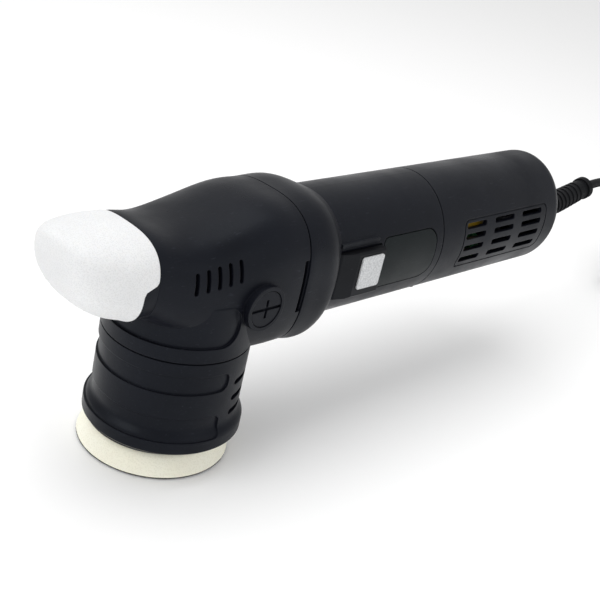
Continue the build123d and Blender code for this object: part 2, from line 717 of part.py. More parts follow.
with BuildPart() as armature_windings:
    for start, end in ((58.8, CORE_START), (CORE_END, 107.0)):
        x_cylinder(start, end, 13.7)
        x_cylinder(start, end, 8.5, Mode.SUBTRACT)
    with BuildSketch(across(CORE_START - 0.5)):
        with PolarLocations(11.7, SLOTS):
            Rectangle(4.2, 2.4)
    extrude(amount=CORE_END - CORE_START + 1)
armature_windings.part.label = "armature_windings"
export_step(armature_windings.part, "parts/armature_windings.step")

with BuildPart() as commutator:
    x_cylinder(108.0, 124.0, 9.0)
    x_cylinder(110.0, 123.0, COMMUTATOR_R)
    with BuildSketch(across(110.0)):
        with PolarLocations(COMMUTATOR_R, 24):
            Rectangle(1.6, 0.6)
    extrude(amount=13.0, mode=Mode.SUBTRACT)
    x_cylinder(108.0, 124.0, 5.5, Mode.SUBTRACT)
commutator.part.label = "commutator"
export_step(commutator.part, "parts/commutator.step")

# --- motor's fixed pieces -----------------------------------------------------------------
STATOR_R = 25.5
FIELD_BORE = 15.6
COIL_OUTER = 21.5
REAR_BEARING_R = 11.0
BRUSH_MIDDLE = 116.0

with BuildPart() as front_motor_bearing:
    x_cylinder(27.0, 36.0, FRONT_BEARING_R)
    x_cylinder(27.0, 36.0, 5.0, Mode.SUBTRACT)
    with BuildSketch(across(35.5)):
        Circle(12.0)
        Circle(8.0, mode=Mode.SUBTRACT)
    extrude(amount=1.0, mode=Mode.SUBTRACT)
front_motor_bearing.part.label = "front_motor_bearing"
export_step(front_motor_bearing.part, "parts/front_motor_bearing.step")

with BuildPart() as air_baffle:
    x_cylinder(57.0, 58.5, 28.6)
    x_cylinder(57.0, 58.5, 21.0, Mode.SUBTRACT)
air_baffle.part.label = "air_baffle"
export_step(air_baffle.part, "parts/air_baffle.step")

with BuildPart() as stator_core:
    x_cylinder(CORE_START, CORE_END, STATOR_R)
    x_cylinder(CORE_START, CORE_END, FIELD_BORE, Mode.SUBTRACT)
    with BuildSketch(across(CORE_START)):
        for start in (50, 96, 230, 276):
            ring_sector(FIELD_BORE - 0.1, COIL_OUTER, start, 34)
        with Locations((0, 23.5), (0, -23.5)):
            Circle(1.6)
    extrude(amount=CORE_END - CORE_START, mode=Mode.SUBTRACT)
stator_core.part.label = "stator_core"
export_step(stator_core.part, "parts/stator_core.step")

with BuildPart() as field_coils:
    for middle in (0, 180):
        with BuildSketch(across(58.8)):
            ring_sector(FIELD_BORE + 0.6, COIL_OUTER - 0.3, middle - 83, 166)
        extrude(amount=46.2)
        with BuildSketch(across(CORE_START - 0.2)):
            ring_sector(FIELD_BORE - 1, COIL_OUTER + 1, middle - 51, 102)
        extrude(amount=CORE_END - CORE_START + 0.4, mode=Mode.SUBTRACT)
field_coils.part.label = "field_coils"
export_step(field_coils.part, "parts/field_coils.step")

with BuildPart() as stator_screws:
    for side in (1, -1):
        height = AXIS_Z + side * 23.5
        x_cylinder(58.9, CORE_END, 1.6, z=height)
        x_cylinder(CORE_END, 102.5, 2.8, z=height)
        x_cylinder(101.5, 103.0, 1.2, Mode.SUBTRACT, z=height)
stator_screws.part.label = "stator_screws"
export_step(stator_screws.part, "parts/stator_screws.step")

with BuildPart() as brush_holders:
    for side in (1, -1):
        middle = AXIS_Z + side * 20.05
        block(110.9, 121.1, -3.6, 3.6, middle - 7.45, middle + 7.45)
        room = AXIS_Z + side * 19.3
        block(111.9, 120.1, -2.6, 2.6, room - 7.2, room + 7.2, Mode.SUBTRACT)
brush_holders.part.label = "brush_holders"
export_step(brush_holders.part, "parts/brush_holders.step")

with BuildPart() as brush_carrier:
    x_cylinder(112.0, 124.0, STATOR_R)
    x_cylinder(112.0, 124.0, 13.0, Mode.SUBTRACT)
    block(110.0, 121.1, -3.6, 3.6, AXIS_Z - 30, AXIS_Z + 30, Mode.SUBTRACT)
brush_carrier.part.label = "brush_carrier"
export_step(brush_carrier.part, "parts/brush_carrier.step")

with BuildPart() as carbon_brushes:
    for side in (1, -1):
        middle = AXIS_Z + side * 16.05
        block(112.0, 120.0, -2.5, 2.5, middle - 4.95, middle + 4.95)
carbon_brushes.part.label = "carbon_brushes"
export_step(carbon_brushes.part, "parts/carbon_brushes.step")

with BuildPart() as brush_springs:
    for side in (1, -1):
        low = 21.4 if side > 0 else -26.1
        seat = Plane(origin=(BRUSH_MIDDLE, 0, AXIS_Z + low))
        with BuildLine(seat):
            coil_line = Helix(pitch=1.2, height=4.7, radius=2.0)
        with BuildSketch(Plane(origin=coil_line @ 0, z_dir=coil_line % 0)) as wire:
            Circle(0.35)
        sweep(wire.sketch, path=coil_line)
brush_springs.part.label = "brush_springs"
export_step(brush_springs.part, "parts/brush_springs.step")

with BuildPart() as rear_motor_bearing:
    x_cylinder(132.0, 139.0, REAR_BEARING_R)
    x_cylinder(132.0, 139.0, 4.0, Mode.SUBTRACT)
    with BuildSketch(across(131.5)):
        Circle(8.8)
        Circle(6.2, mode=Mode.SUBTRACT)
    extrude(amount=1.0, mode=Mode.SUBTRACT)
rear_motor_bearing.part.label = "rear_motor_bearing"
export_step(rear_motor_bearing.part, "parts/rear_motor_bearing.step")

# --- motor housing ------------------------------------------------------------------------
WALL_INSIDE = HANDLE_A - HANDLE_WALL
SEAT_START = 58.5
POCKET_FLOOR = -28.3
POCKET = (65.2, 102.0, 79.5, 105.5)
PANEL = (103.5, 148.5, 78.5, 107.5)
PANEL_T = 1.4
PANEL_GAP = 0.5
LINK_OUT = -27.9
LINK_IN = -26.7
LUG_END = 167.0
LUG_SCREW_X = 161.0
LUG_SCREW_Y = 12.0
LUG_SEAT_Z = 62.9


def rounded_window(x0, x1, z0, z1, radius, start, depth, mode):
    """Rounded box on the -Y side, from y = start outward by depth."""
    with BuildSketch(Plane.XZ.offset(-start)) as window:
        with Locations(((x0 + x1) / 2, (z0 + z1) / 2)):
            RectangleRounded(x1 - x0, z1 - z0, radius)
    extrude(window.sketch, amount=depth, mode=mode)


def oval_solid(start, end, inset):
    """Separate oval bar of the handle's section."""
    with BuildPart() as bar:
        handle_oval(start, end, inset)
    return bar.part


def panel_bar(gap):
    """Separate bar of the side panel's outline, moved in by gap."""
    x0, x1 = PANEL[0] + gap, PANEL[1] - gap
    z0, z1 = PANEL[2] + gap, PANEL[3] - gap
    with BuildPart() as bar:
        rounded_window(x0, x1, z0, z1, 4.0, -15.0, 20.0, Mode.ADD)
        block(140.0, 150.0, -40.0, 0.0, z0, z1, Mode.SUBTRACT)
        rounded_window(120.0, x1, z0, z1, 8.0, -15.0, 20.0, Mode.ADD)
    return bar.part


with BuildPart() as collar_seam:
    extrude(body_slice(HEAD_REAR, 35.8, 131.3, 56.0, inset=-2.0), amount=SEAM_W)
    extrude(body_slice(HEAD_REAR, 35.8, 131.3, 56.0, inset=SEAM_D), amount=SEAM_W, mode=Mode.SUBTRACT)

with BuildPart() as screw_lugs:
    for side in (1, -1):
        y = side * LUG_SCREW_Y
        block(HANDLE_SEAM - 4, LUG_END, y - 4.5, y + 4.5, 58.0, 74.0)
    add(oval_solid(HANDLE_SEAM - 5, LUG_END + 1, REAR_WALL + 0.15), mode=Mode.INTERSECT)
    for side in (1, -1):
        z_cylinder(58.0, 74.0, 1.6, Mode.SUBTRACT, LUG_SCREW_X, side * LUG_SCREW_Y)

with BuildPart() as pocket_backing:
    block(COLLAR_SLICES[3][0], 152.0, -30.0, -25.7, 77.0, 108.0)
    add(oval_solid(60.0, 153.0, HANDLE_WALL / 2), mode=Mode.INTERSECT)

with BuildPart() as motor_housing:
    loft([body_slice(*row) for row in COLLAR_SLICES])
    handle_oval(COLLAR_SLICES[-1][0] - 5.0, HANDLE_SEAM, 0.0)
    x_cylinder(HEAD_REAR, SEAT_START, 30.0, Mode.SUBTRACT)
    handle_oval(SEAT_START, HANDLE_SEAM, HANDLE_WALL, Mode.SUBTRACT)
    # Seat for the field core and the baffle.
    with BuildSketch(across(SEAT_START)):
        Ellipse(WALL_INSIDE + 0.5, HANDLE_B - HANDLE_WALL + 0.5)
        Circle(22.0, mode=Mode.SUBTRACT)
        with Locations((0, 23.5), (0, -23.5)):
            Circle(1.6, mode=Mode.SUBTRACT)
    extrude(amount=CORE_START - SEAT_START)
    # Ribs that hold the core and the brush carrier.
    with BuildSketch(across(CORE_START)):
        for middle in SCREW_ANGLES:
            ring_sector(STATOR_R, 30.4, middle - 6, 12)
    extrude(amount=62.0)
    # Bosses for the case screws.
    for y in (-CASE_SCREW, CASE_SCREW):
        for z in (AXIS_Z - CASE_SCREW, AXIS_Z + CASE_SCREW):
            x_cylinder(HEAD_REAR, SEAT_START, 3.8, y=y, z=z)
            x_cylinder(HEAD_REAR - 1, 55.0, 2.1, Mode.SUBTRACT, y, z)
    # Spider with the rear bearing's cup.
    with BuildSketch(across(136.0)):
        Rectangle(6.0, 66.0, rotation=45)
        Rectangle(6.0, 66.0, rotation=-45)
        Ellipse(WALL_INSIDE + 0.6, HANDLE_B - HANDLE_WALL + 0.6, mode=Mode.INTERSECT)
    extrude(amount=6.0)
    x_cylinder(131.5, 142.0, 14.0)
    x_cylinder(131.5, 139.0, REAR_BEARING_R, Mode.SUBTRACT)
    x_cylinder(139.0, 142.0, 8.0, Mode.SUBTRACT)
    # Thicker wall behind the switch pocket, with the channel of the switch bar.
    add(pocket_backing.part)
    block(75.0, HANDLE_SEAM, -28.9, -26.3, 88.0, 97.4, Mode.SUBTRACT)
    rounded_window(*POCKET, 1.0, POCKET_FLOOR, 20.0, Mode.SUBTRACT)
    block(90.0, 97.4, -29.0, -27.0, 88.0, 97.4, Mode.SUBTRACT)
    # Grip bead above the switch.
    with BuildSketch(Plane.XZ.offset(26.4)):
        with Locations((84.7, 108.2)):
            SlotOverall(28.3, 2.4)
    extrude(amount=3.0)
    # Recess of the side panel.
    add(panel_bar(0.0) - oval_solid(100.0, 152.0, PANEL_T), mode=Mode.SUBTRACT)
    add(collar_seam.part, mode=Mode.SUBTRACT)
    # Lugs for the rear cover's screws.
    add(screw_lugs.part)
motor_housing.part.label = "motor_housing"
export_step(motor_housing.part, "parts/motor_housing.step")

with BuildPart() as side_label_panel:
    add(panel_bar(PANEL_GAP) & oval_solid(100.0, 152.0, 0.0))
    add(oval_solid(100.0, 152.0, PANEL_T), mode=Mode.SUBTRACT)
side_label_panel.part.label = "side_label_panel"
export_step(side_label_panel.part, "parts/side_label_panel.step")

# --- rear cover ---------------------------------------------------------------------------
VENT_COLUMNS = ((175.8, 194.4), (203.0, 222.3), (230.7, 251.2))
VENT_ROWS = ((102.0, 105.2), (96.0, 99.3), (89.0, 92.4), (81.7, 85.1))
VENT_FRAME = (173.5, 257.0, 78.0, 107.3)
GLAND_Z = 86.0
GLAND_R = 7.0
DIAL_X = 268.5
DIAL_Z = 110.0
DIAL_R = 9.5
BOARD_Z = 70.0
CLAMP = (240.0, 250.0, 12.0)

with BuildPart() as rear_shape:
    handle_oval(HANDLE_SEAM, TAIL_END, 0.0)
    fillet(rear_shape.edges().group_by(Axis.X)[-1], TAIL_ROUND)

with BuildPart() as rear_room:
    handle_oval(HANDLE_SEAM, TAIL_END - REAR_WALL, REAR_WALL)
    fillet(rear_room.edges().group_by(Axis.X)[-1], TAIL_ROUND - REAR_WALL)

with BuildPart() as rear_posts:
    block(CLAMP[0], CLAMP[1], -CLAMP[2], CLAMP[2], 58.0, GLAND_Z - CORD_D / 2)
    for x in (193.0, 231.0):
        block(x, x + 3.0, -14.0, 14.0, 58.0, BOARD_Z)
    add(oval_solid(180.0, 260.0, REAR_WALL - 0.5), mode=Mode.INTERSECT)

with BuildPart() as frame_line:
    with BuildSketch(Plane.XZ):
        x0, x1, z0, z1 = VENT_FRAME
        with Locations(((x0 + x1) / 2, (z0 + z1) / 2)):
            RectangleRounded(x1 - x0, z1 - z0, 4.0)
            RectangleRounded(x1 - x0 - 1.6, z1 - z0 - 1.6, 3.4, mode=Mode.SUBTRACT)
    extrude(amount=60, both=True)

with BuildPart() as seam_ring:
    handle_oval(HANDLE_SEAM, HANDLE_SEAM + SEAM_W, -1.0)
    handle_oval(HANDLE_SEAM, HANDLE_SEAM + SEAM_W, SEAM_D, Mode.SUBTRACT)

with BuildPart() as rear_cover:
    add(rear_shape.part)
    add(rear_room.part, mode=Mode.SUBTRACT)
    add(rear_posts.part)
    # Tapered boss around the strain relief.
    with BuildSketch(across(TAIL_END - 4, z=GLAND_Z)):
        Circle(14.0)
    extrude(amount=20.0, taper=8.5)
    add(rear_room.part - rear_posts.part, mode=Mode.SUBTRACT)
    x_cylinder(TAIL_END - 10, 300.0, GLAND_R, Mode.SUBTRACT, z=GLAND_Z)
    # Air inlets in a shallow frame line, both sides.
    with BuildSketch(Plane.XZ):
        for x0, x1 in VENT_COLUMNS:
            for z0, z1 in VENT_ROWS:
                with Locations(((x0 + x1) / 2, (z0 + z1) / 2)):
                    RectangleRounded(x1 - x0, z1 - z0, 1.2)
    extrude(amount=60, both=True, mode=Mode.SUBTRACT)
    add(frame_line.part - oval_solid(150.0, 276.0, 0.5), mode=Mode.SUBTRACT)
    add(seam_ring.part, mode=Mode.SUBTRACT)
    # Slot for the speed dial in the tail.
    block(DIAL_X, 280.0, -2.5, 2.5, DIAL_Z - 8.7, DIAL_Z + 8.7, Mode.SUBTRACT)
    # Counterbored screw holes underneath.
    for side in (1, -1):
        z_cylinder(55.0, LUG_SEAT_Z, 3.0, Mode.SUBTRACT, LUG_SCREW_X, side * LUG_SCREW_Y)
        z_cylinder(55.0, 66.0, 1.6, Mode.SUBTRACT, LUG_SCREW_X, side * LUG_SCREW_Y)
    for side in (1, -1):
        z_cylinder(70.0, GLAND_Z, 1.4, Mode.SUBTRACT, 245.0, side * 8.5)
rear_cover.part.label = "rear_cover"
export_step(rear_cover.part, "parts/rear_cover.step")

with BuildPart() as rear_cover_screws:
    for side in (1, -1):
        z_cylinder(LUG_SEAT_Z - 1.0, LUG_SEAT_Z, 2.8, x=LUG_SCREW_X, y=side * LUG_SCREW_Y)
        z_cylinder(LUG_SEAT_Z, 73.0, 1.6, x=LUG_SCREW_X, y=side * LUG_SCREW_Y)
        with BuildSketch(Plane.XY.offset(LUG_SEAT_Z - 2.2)):
            with Locations((LUG_SCREW_X, side * LUG_SCREW_Y)):
                Rectangle(4.4, 0.9)
                Rectangle(0.9, 4.4)
        extrude(amount=1.8, mode=Mode.SUBTRACT)
rear_cover_screws.part.label = "rear_cover_screws"
export_step(rear_cover_screws.part, "parts/rear_cover_screws.step")

# --- switch -------------------------------------------------------------------------------
SLIDER = (69.5, 101.5, 80.2, 104.6)
FACE = (83.4, 99.6, 84.8, 102.2)
PIN_X = 95.0

with BuildPart() as switch_slider:
    x0, x1, z0, z1 = SLIDER
    with BuildSketch(Plane.XY.offset(z0)):
        with BuildLine():
            Polyline(
                (x0, POCKET_FLOOR - 0.4),
                (x0, POCKET_FLOOR - 1.6),
                (x0 + 1.5, POCKET_FLOOR - 2.6),
                (x0 + 11.5, -33.4),
                (x1 - 0.8, -33.4),
                (x1, -32.6),
                (x1, POCKET_FLOOR - 0.4),
                close=True,
            )
        make_face()
    extrude(amount=z1 - z0)
    chamfer(switch_slider.edges().filter_by(Axis.X).group_by(Axis.Y)[0], 0.8)
    rounded_window(*FACE, 1.4, -32.2, 3.0, Mode.SUBTRACT)
    rounded_window(PIN_X - 2, PIN_X + 2, AXIS_Z - 2, AXIS_Z + 2, 1.9, POCKET_FLOOR, 2.0, Mode.SUBTRACT)
switch_slider.part.label = "switch_slider"
export_step(switch_slider.part, "parts/switch_slider.step")

with BuildPart() as switch_face:
    rounded_window(*FACE, 1.4, -32.2, 2.0, Mode.ADD)
switch_face.part.label = "switch_face"
export_step(switch_face.part, "parts/switch_face.step")

with BuildPart() as switch_link:
    block(90.0, 164.0, LINK_OUT, LINK_IN, AXIS_Z - 3, AXIS_Z + 3)
    block(161.0, 164.0, LINK_IN, -22.5, AXIS_Z - 3, AXIS_Z + 3)
    rounded_window(PIN_X - 2, PIN_X + 2, AXIS_Z - 2, AXIS_Z + 2, 1.9, LINK_IN, 3.6, Mode.ADD)
switch_link.part.label = "switch_link"
export_step(switch_link.part, "parts/switch_link.step")

with BuildPart() as switch_body:
    block(156.0, 176.0, -24.5, -9.0, 84.0, 101.0)
    block(156.6, 164.6, -25.0, -21.5, AXIS_Z - 4, AXIS_Z + 4, Mode.SUBTRACT)
    for z in (87.5, 96.0):
        block(176.0, 181.0, -18.0, -17.2, z, z + 3.5)
switch_body.part.label = "switch_body"
export_step(switch_body.part, "parts/switch_body.step")

# --- electrics in the rear cover ----------------------------------------------------------
with BuildPart() as suppression_capacitor:
    block(183.0, 200.0, -24.0, -11.0, 94.5, 106.5)
    fillet(suppression_capacitor.edges().filter_by(Axis.X), 1.2)
suppression_capacitor.part.label = "suppression_capacitor"
export_step(suppression_capacitor.part, "parts/suppression_capacitor.step")

with BuildPart() as control_board:
    block(190.0, 236.0, -17.5, 17.5, BOARD_Z, BOARD_Z + 1.6)
    block(194.0, 208.0, -12.0, -2.0, BOARD_Z + 1.6, BOARD_Z + 9.6)
    with Locations((220.0, 8.0, BOARD_Z + 7.6)):
        Cylinder(5.0, 12.0)
    block(214.0, 217.0, -12.0, 0.0, BOARD_Z + 1.6, BOARD_Z + 15.0)
control_board.part.label = "control_board"
export_step(control_board.part, "parts/control_board.step")

with BuildPart() as speed_dial:
    with BuildSketch(Plane.XZ.offset(-2.0)):
        with Locations((DIAL_X, DIAL_Z)):
            Circle(DIAL_R)
            with PolarLocations(DIAL_R + 0.2, 36):
                Circle(0.5, mode=Mode.SUBTRACT)
    extrude(amount=4.0)
    with BuildSketch(Plane.XZ.offset(-2.0)):
        with Locations((DIAL_X, DIAL_Z)):
            Circle(2.0 - FIT)
    extrude(amount=-6.0)
speed_dial.part.label = "speed_dial"
export_step(speed_dial.part, "parts/speed_dial.step")

with BuildPart() as dial_potentiometer:
    block(262.5, TAIL_END - REAR_WALL, 2.6, 9.6, DIAL_Z - 6, DIAL_Z + 6)
    with BuildSketch(Plane.XZ):
        with Locations((DIAL_X, DIAL_Z)):
            Circle(2.0)
    extrude(amount=60, both=True, mode=Mode.SUBTRACT)
dial_potentiometer.part.label = "dial_potentiometer"
export_step(dial_potentiometer.part, "parts/dial_potentiometer.step")

# --- cord ---------------------------------------------------------------------------------
GLAND_BEND_R = 120.0
GLAND_LIFT = 11.5  # degrees the strain relief rises
GLAND_BEND_X = 306.0
GLAND_LENGTH = 85.6  # along its middle line, from the collar to the bead
COLLAR_X = 270.7


def gland_plane(along):
    """Plane square to the strain relief's middle line at a length from the collar."""
    straight = GLAND_BEND_X - COLLAR_X
    arc = GLAND_BEND_R * math.radians(GLAND_LIFT)
    lift = math.radians(GLAND_LIFT)
    if along <= straight:
        x, z, angle = COLLAR_X + along, GLAND_Z, 0.0
    elif along <= straight + arc:
        angle = (along - straight) / GLAND_BEND_R
        x = GLAND_BEND_X + GLAND_BEND_R * math.sin(angle)
        z = GLAND_Z + GLAND_BEND_R * (1 - math.cos(angle))
    else:
        angle = lift
        rest = along - straight - arc
        x = GLAND_BEND_X + GLAND_BEND_R * math.sin(lift) + rest * math.cos(lift)
        z = GLAND_Z + GLAND_BEND_R * (1 - math.cos(lift)) + rest * math.sin(lift)
    return Plane(origin=(x, 0, z), x_dir=(0, 1, 0), z_dir=(math.cos(angle), 0, math.sin(angle)))


def gland_disc(along, radius):
    """Round section of the strain relief."""
    with BuildSketch(gland_plane(along)) as disc:
        Circle(radius)
    return disc.sketch


GLAND_END = gland_plane(GLAND_LENGTH).origin
print("strain relief ends at", [round(c, 2) for c in tuple(GLAND_END)])

with BuildPart() as gland_bore:
    loft([gland_disc(k * GLAND_LENGTH / 8, CORD_D / 2) for k in range(9)])

with BuildPart() as strain_relief:
    extrude(gland_disc(0, 9.5), amount=2.8)
    extrude(gland_disc(0, GLAND_R - 0.05), amount=292.0 - COLLAR_X)
    loft([gland_disc(21.3 + k * (GLAND_LENGTH - 21.3) / 8, 7.6 - 0.17 * k) for k in range(9)])
    for k in range(11):
        extrude(gland_disc(26.5 + 4.6 * k, 8.3 - 0.13 * k), amount=2.0)
    extrude(gland_disc(GLAND_LENGTH - 4.0, 7.4), amount=4.0)
    add(gland_bore.part, mode=Mode.SUBTRACT)
strain_relief.part.label = "strain_relief"
export_step(strain_relief.part, "parts/strain_relief.step")

with BuildPart() as cord_inside:
    x_cylinder(232.0, COLLAR_X, CORD_D / 2, z=GLAND_Z)
    add(gland_bore.part)
cord_inside.part.label = "cord_inside"
export_step(cord_inside.part, "parts/cord_inside.step")

with BuildPart() as cable_clamp:
    block(CLAMP[0], CLAMP[1], -CLAMP[2], CLAMP[2], GLAND_Z + 0.5, GLAND_Z + 6.5)
    x_cylinder(230.0, 260.0, CORD_D / 2, Mode.SUBTRACT, z=GLAND_Z)
    for side in (1, -1):
        z_cylinder(GLAND_Z, 95.0, 1.6, Mode.SUBTRACT, 245.0, side * 8.5)
cable_clamp.part.label = "cable_clamp"
export_step(cable_clamp.part, "parts/cable_clamp.step")

with BuildPart() as clamp_screws:
    for side in (1, -1):
        z_cylinder(GLAND_Z + 6.5, GLAND_Z + 8.5, 2.9, x=245.0, y=side * 8.5)
        z_cylinder(72.0, GLAND_Z + 6.5, 1.4, x=245.0, y=side * 8.5)
        block(242.8, 247.2, side * 8.5 - 0.4, side * 8.5 + 0.4, GLAND_Z + 7.7, 96.0, Mode.SUBTRACT)
clamp_screws.part.label = "clamp_screws"
export_step(clamp_screws.part, "parts/clamp_screws.step")

CORD_ROUTE = [
    tuple(GLAND_END),
    (374.0, 0.0, 95.8),
    (393.0, -0.5, 93.0),
    (410.0, 0.3, 80.0),
    (422.5, 1.8, 60.0),
    (434.0, 3.0, 38.0),
    (446.5, 4.0, 20.0),
    (462.0, 7.0, 7.5),
    (481.0, 9.5, 3.1),
    (497.0, 10.0, 3.1),
]
TAIL_ROUTE = [
    (460.1, -60.8, 21.0),
    (452.1, -46.4, 23.5),
    (451.5, -27.9, 27.5),
    (459.6, -11.3, 31.0),
    (474.6, -0.4, 33.0),
    (492.2, 1.9, 33.0),
]
BEND_SHARE = 0.45
COIL_CENTRE = (497.0, -35.0)
COIL_INNER = 24.0
COIL_OUTER_R = 48.0
COIL_H = 24.0


def bend_radii(route):
    """Largest even radius at each inner corner of a route."""
    radii = []
    for before, here, after in zip(route, route[1:], route[2:]):
        first = Vector(*here) - Vector(*before)
        second = Vector(*after) - Vector(*here)
        half_turn = math.radians(first.get_angle(second)) / 2
        radii.append(BEND_SHARE * min(first.length, second.length) / math.tan(half_turn))
    return radii


def cord_line(route):
    """Straight runs with rounded corners along a route."""
    with BuildLine() as line:
        FilletPolyline(*route, radius=bend_radii(route))
    return line


def cord_tube(route):
    """Round cord along a route, added to the open part."""
    line = cord_line(route)
    start = Vector(*route[0])
    heading = Vector(*route[1]) - start
    with BuildSketch(Plane(origin=start, z_dir=heading)) as section:
        Circle(CORD_D / 2)
    sweep(section.sketch, path=line.line)
    return sum(edge.length for edge in line.edges())


with BuildPart() as power_cord:
    cord_length = cord_tube(CORD_ROUTE)
print("cord bend radii", [round(r, 1) for r in bend_radii(CORD_ROUTE)])
print("cord length", round(cord_length, 1), "volume ratio",
      round(power_cord.part.volume / (cord_length * math.pi * (CORD_D / 2) ** 2), 4))
power_cord.part.label = "power_cord"
export_step(power_cord.part, "parts/power_cord.step")

with BuildPart() as power_cord_end:
    tail_length = cord_tube(TAIL_ROUTE)
print("tail bend radii", [round(r, 1) for r in bend_radii(TAIL_ROUTE)])
print("tail length", round(tail_length, 1), "volume ratio",
      round(power_cord_end.part.volume / (tail_length * math.pi * (CORD_D / 2) ** 2), 4))
power_cord_end.part.label = "power_cord_end"
export_step(power_cord_end.part, "parts/power_cord_end.step")

with BuildPart() as cord_coil:
    z_cylinder(0.0, COIL_H, COIL_OUTER_R, x=COIL_CENTRE[0], y=COIL_CENTRE[1])
    z_cylinder(0.0, COIL_H, COIL_INNER, Mode.SUBTRACT, *COIL_CENTRE)
    fillet(cord_coil.edges().filter_by(GeomType.CIRCLE), 2.8)
    add(power_cord.part, mode=Mode.SUBTRACT)
    add(power_cord_end.part, mode=Mode.SUBTRACT)
cord_coil.part.label = "cord_coil"
export_step(cord_coil.part, "parts/cord_coil.step")

PLUG_REAR = 492.2
PLUG_FRONT = 530.2
PLUG_Y = 1.9
PLUG_H = 18.0
PLUG_HALF_W = 18.5
PLUG_HALF_NECK = 6.0
PIN_SPACING = 19.0
PIN_R = 2.4
PIN_ROOT_R = 2.0
PIN_LENGTH = 19.0
PIN_DEPTH = 9.0
PIN_RELIEF = 0.4
PLUG_AXIS_Z = COIL_H + PLUG_H / 2

with BuildPart() as plug_body:
    with BuildSketch(Plane.XY.offset(COIL_H)):
        with BuildLine():
            Polyline(
                (PLUG_FRONT, PLUG_Y - PLUG_HALF_W),
                (PLUG_FRONT - 16, PLUG_Y - PLUG_HALF_W),
                (PLUG_REAR + 8, PLUG_Y - PLUG_HALF_NECK - 1.5),
                (PLUG_REAR, PLUG_Y - PLUG_HALF_NECK),
                (PLUG_REAR, PLUG_Y + PLUG_HALF_NECK),
                (PLUG_REAR + 8, PLUG_Y + PLUG_HALF_NECK + 1.5),
                (PLUG_FRONT - 16, PLUG_Y + PLUG_HALF_W),
                (PLUG_FRONT, PLUG_Y + PLUG_HALF_W),
                close=True,
            )
        make_face()
    extrude(amount=PLUG_H)
    fillet(plug_body.edges().filter_by(Axis.Z).group_by(Axis.X)[-1], 4.0)
    chamfer(plug_body.faces().sort_by(Axis.Z)[-1].edges(), 1.5)
    chamfer(plug_body.faces().sort_by(Axis.Z)[0].edges(), 1.5)
    for side in (1, -1):
        y = PLUG_Y + side * PIN_SPACING / 2
        x_cylinder(PLUG_FRONT - PIN_DEPTH, PLUG_FRONT + 1, PIN_ROOT_R, Mode.SUBTRACT, y, PLUG_AXIS_Z)
plug_body.part.label = "plug_body"
export_step(plug_body.part, "parts/plug_body.step")

with BuildPart() as plug_pins:
    for side in (1, -1):
        y = PLUG_Y + side * PIN_SPACING / 2
        x_cylinder(PLUG_FRONT + PIN_RELIEF, PLUG_FRONT + PIN_LENGTH, PIN_R, y=y, z=PLUG_AXIS_Z)
    fillet(plug_pins.edges().group_by(Axis.X)[-1], 1.2)
    for side in (1, -1):
        y = PLUG_Y + side * PIN_SPACING / 2
        x_cylinder(PLUG_FRONT - PIN_DEPTH, PLUG_FRONT + PIN_RELIEF, PIN_ROOT_R, y=y, z=PLUG_AXIS_Z)
plug_pins.part.label = "plug_pins"
export_step(plug_pins.part, "parts/plug_pins.step")
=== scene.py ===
import json
import math
import random
from functools import partial

import bmesh
import bpy
from mathutils import Matrix, Vector, noise


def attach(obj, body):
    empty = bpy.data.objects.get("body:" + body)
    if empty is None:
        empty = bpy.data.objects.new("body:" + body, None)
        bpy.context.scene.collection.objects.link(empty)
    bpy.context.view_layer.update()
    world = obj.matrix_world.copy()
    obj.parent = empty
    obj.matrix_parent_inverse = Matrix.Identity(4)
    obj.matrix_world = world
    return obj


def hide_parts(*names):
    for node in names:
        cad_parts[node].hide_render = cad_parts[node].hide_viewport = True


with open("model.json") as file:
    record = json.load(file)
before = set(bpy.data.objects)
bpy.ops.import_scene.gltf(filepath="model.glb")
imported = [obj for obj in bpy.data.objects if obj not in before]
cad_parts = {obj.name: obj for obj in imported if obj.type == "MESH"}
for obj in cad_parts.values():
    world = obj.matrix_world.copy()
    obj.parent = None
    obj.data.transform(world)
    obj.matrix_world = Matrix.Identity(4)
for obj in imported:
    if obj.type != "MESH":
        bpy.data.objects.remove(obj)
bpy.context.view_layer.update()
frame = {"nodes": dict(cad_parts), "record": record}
NODES = frame["nodes"]
SCENE = bpy.context.scene
MM = 0.001


# --- camera, floor and lights ---------------------------------------------------------------
LENS_MM = 66.0
SENSOR_MM = 36.0
CAMERA_PLACE = Vector((-318.55, -325.68, 309.79)) * MM
CAMERA_RIGHT = Vector((0.68939, -0.69337, 0.20972))
CAMERA_DOWN = Vector((-0.18057, -0.44486, -0.87721))
CAMERA_AHEAD = Vector((0.70153, 0.56687, -0.43188))
WHITE = (1.0, 1.0, 1.0, 1.0)
FLOOR_HALF = 6.0
FLOOR_DROP = 0.0002
SKY_STRENGTH = 0.74
LIGHT_TARGET = Vector((0.10, 0.0, 0.08))
# Each light's name, place and side in metres, and power in watts.
SOFTBOXES = [
    ("softbox_top", (0.05, 0.20, 1.25), 1.0, 6.2),
    ("softbox_left", (-1.10, 0.15, 0.85), 0.8, 4.6),
    ("softbox_front", (0.30, -1.30, 0.65), 0.9, 1.6),
]


def add_camera():
    """A camera ahead of the head, above it and on the switch's side."""
    data = bpy.data.cameras.new("camera")
    data.lens = LENS_MM
    data.sensor_width = SENSOR_MM
    data.clip_start = 0.01
    data.clip_end = 20.0
    camera = bpy.data.objects.new("camera", data)
    turn = Matrix((CAMERA_RIGHT, -CAMERA_DOWN, -CAMERA_AHEAD)).transposed().to_4x4()
    turn.translation = CAMERA_PLACE
    camera.matrix_world = turn
    SCENE.collection.objects.link(camera)
    SCENE.camera = camera


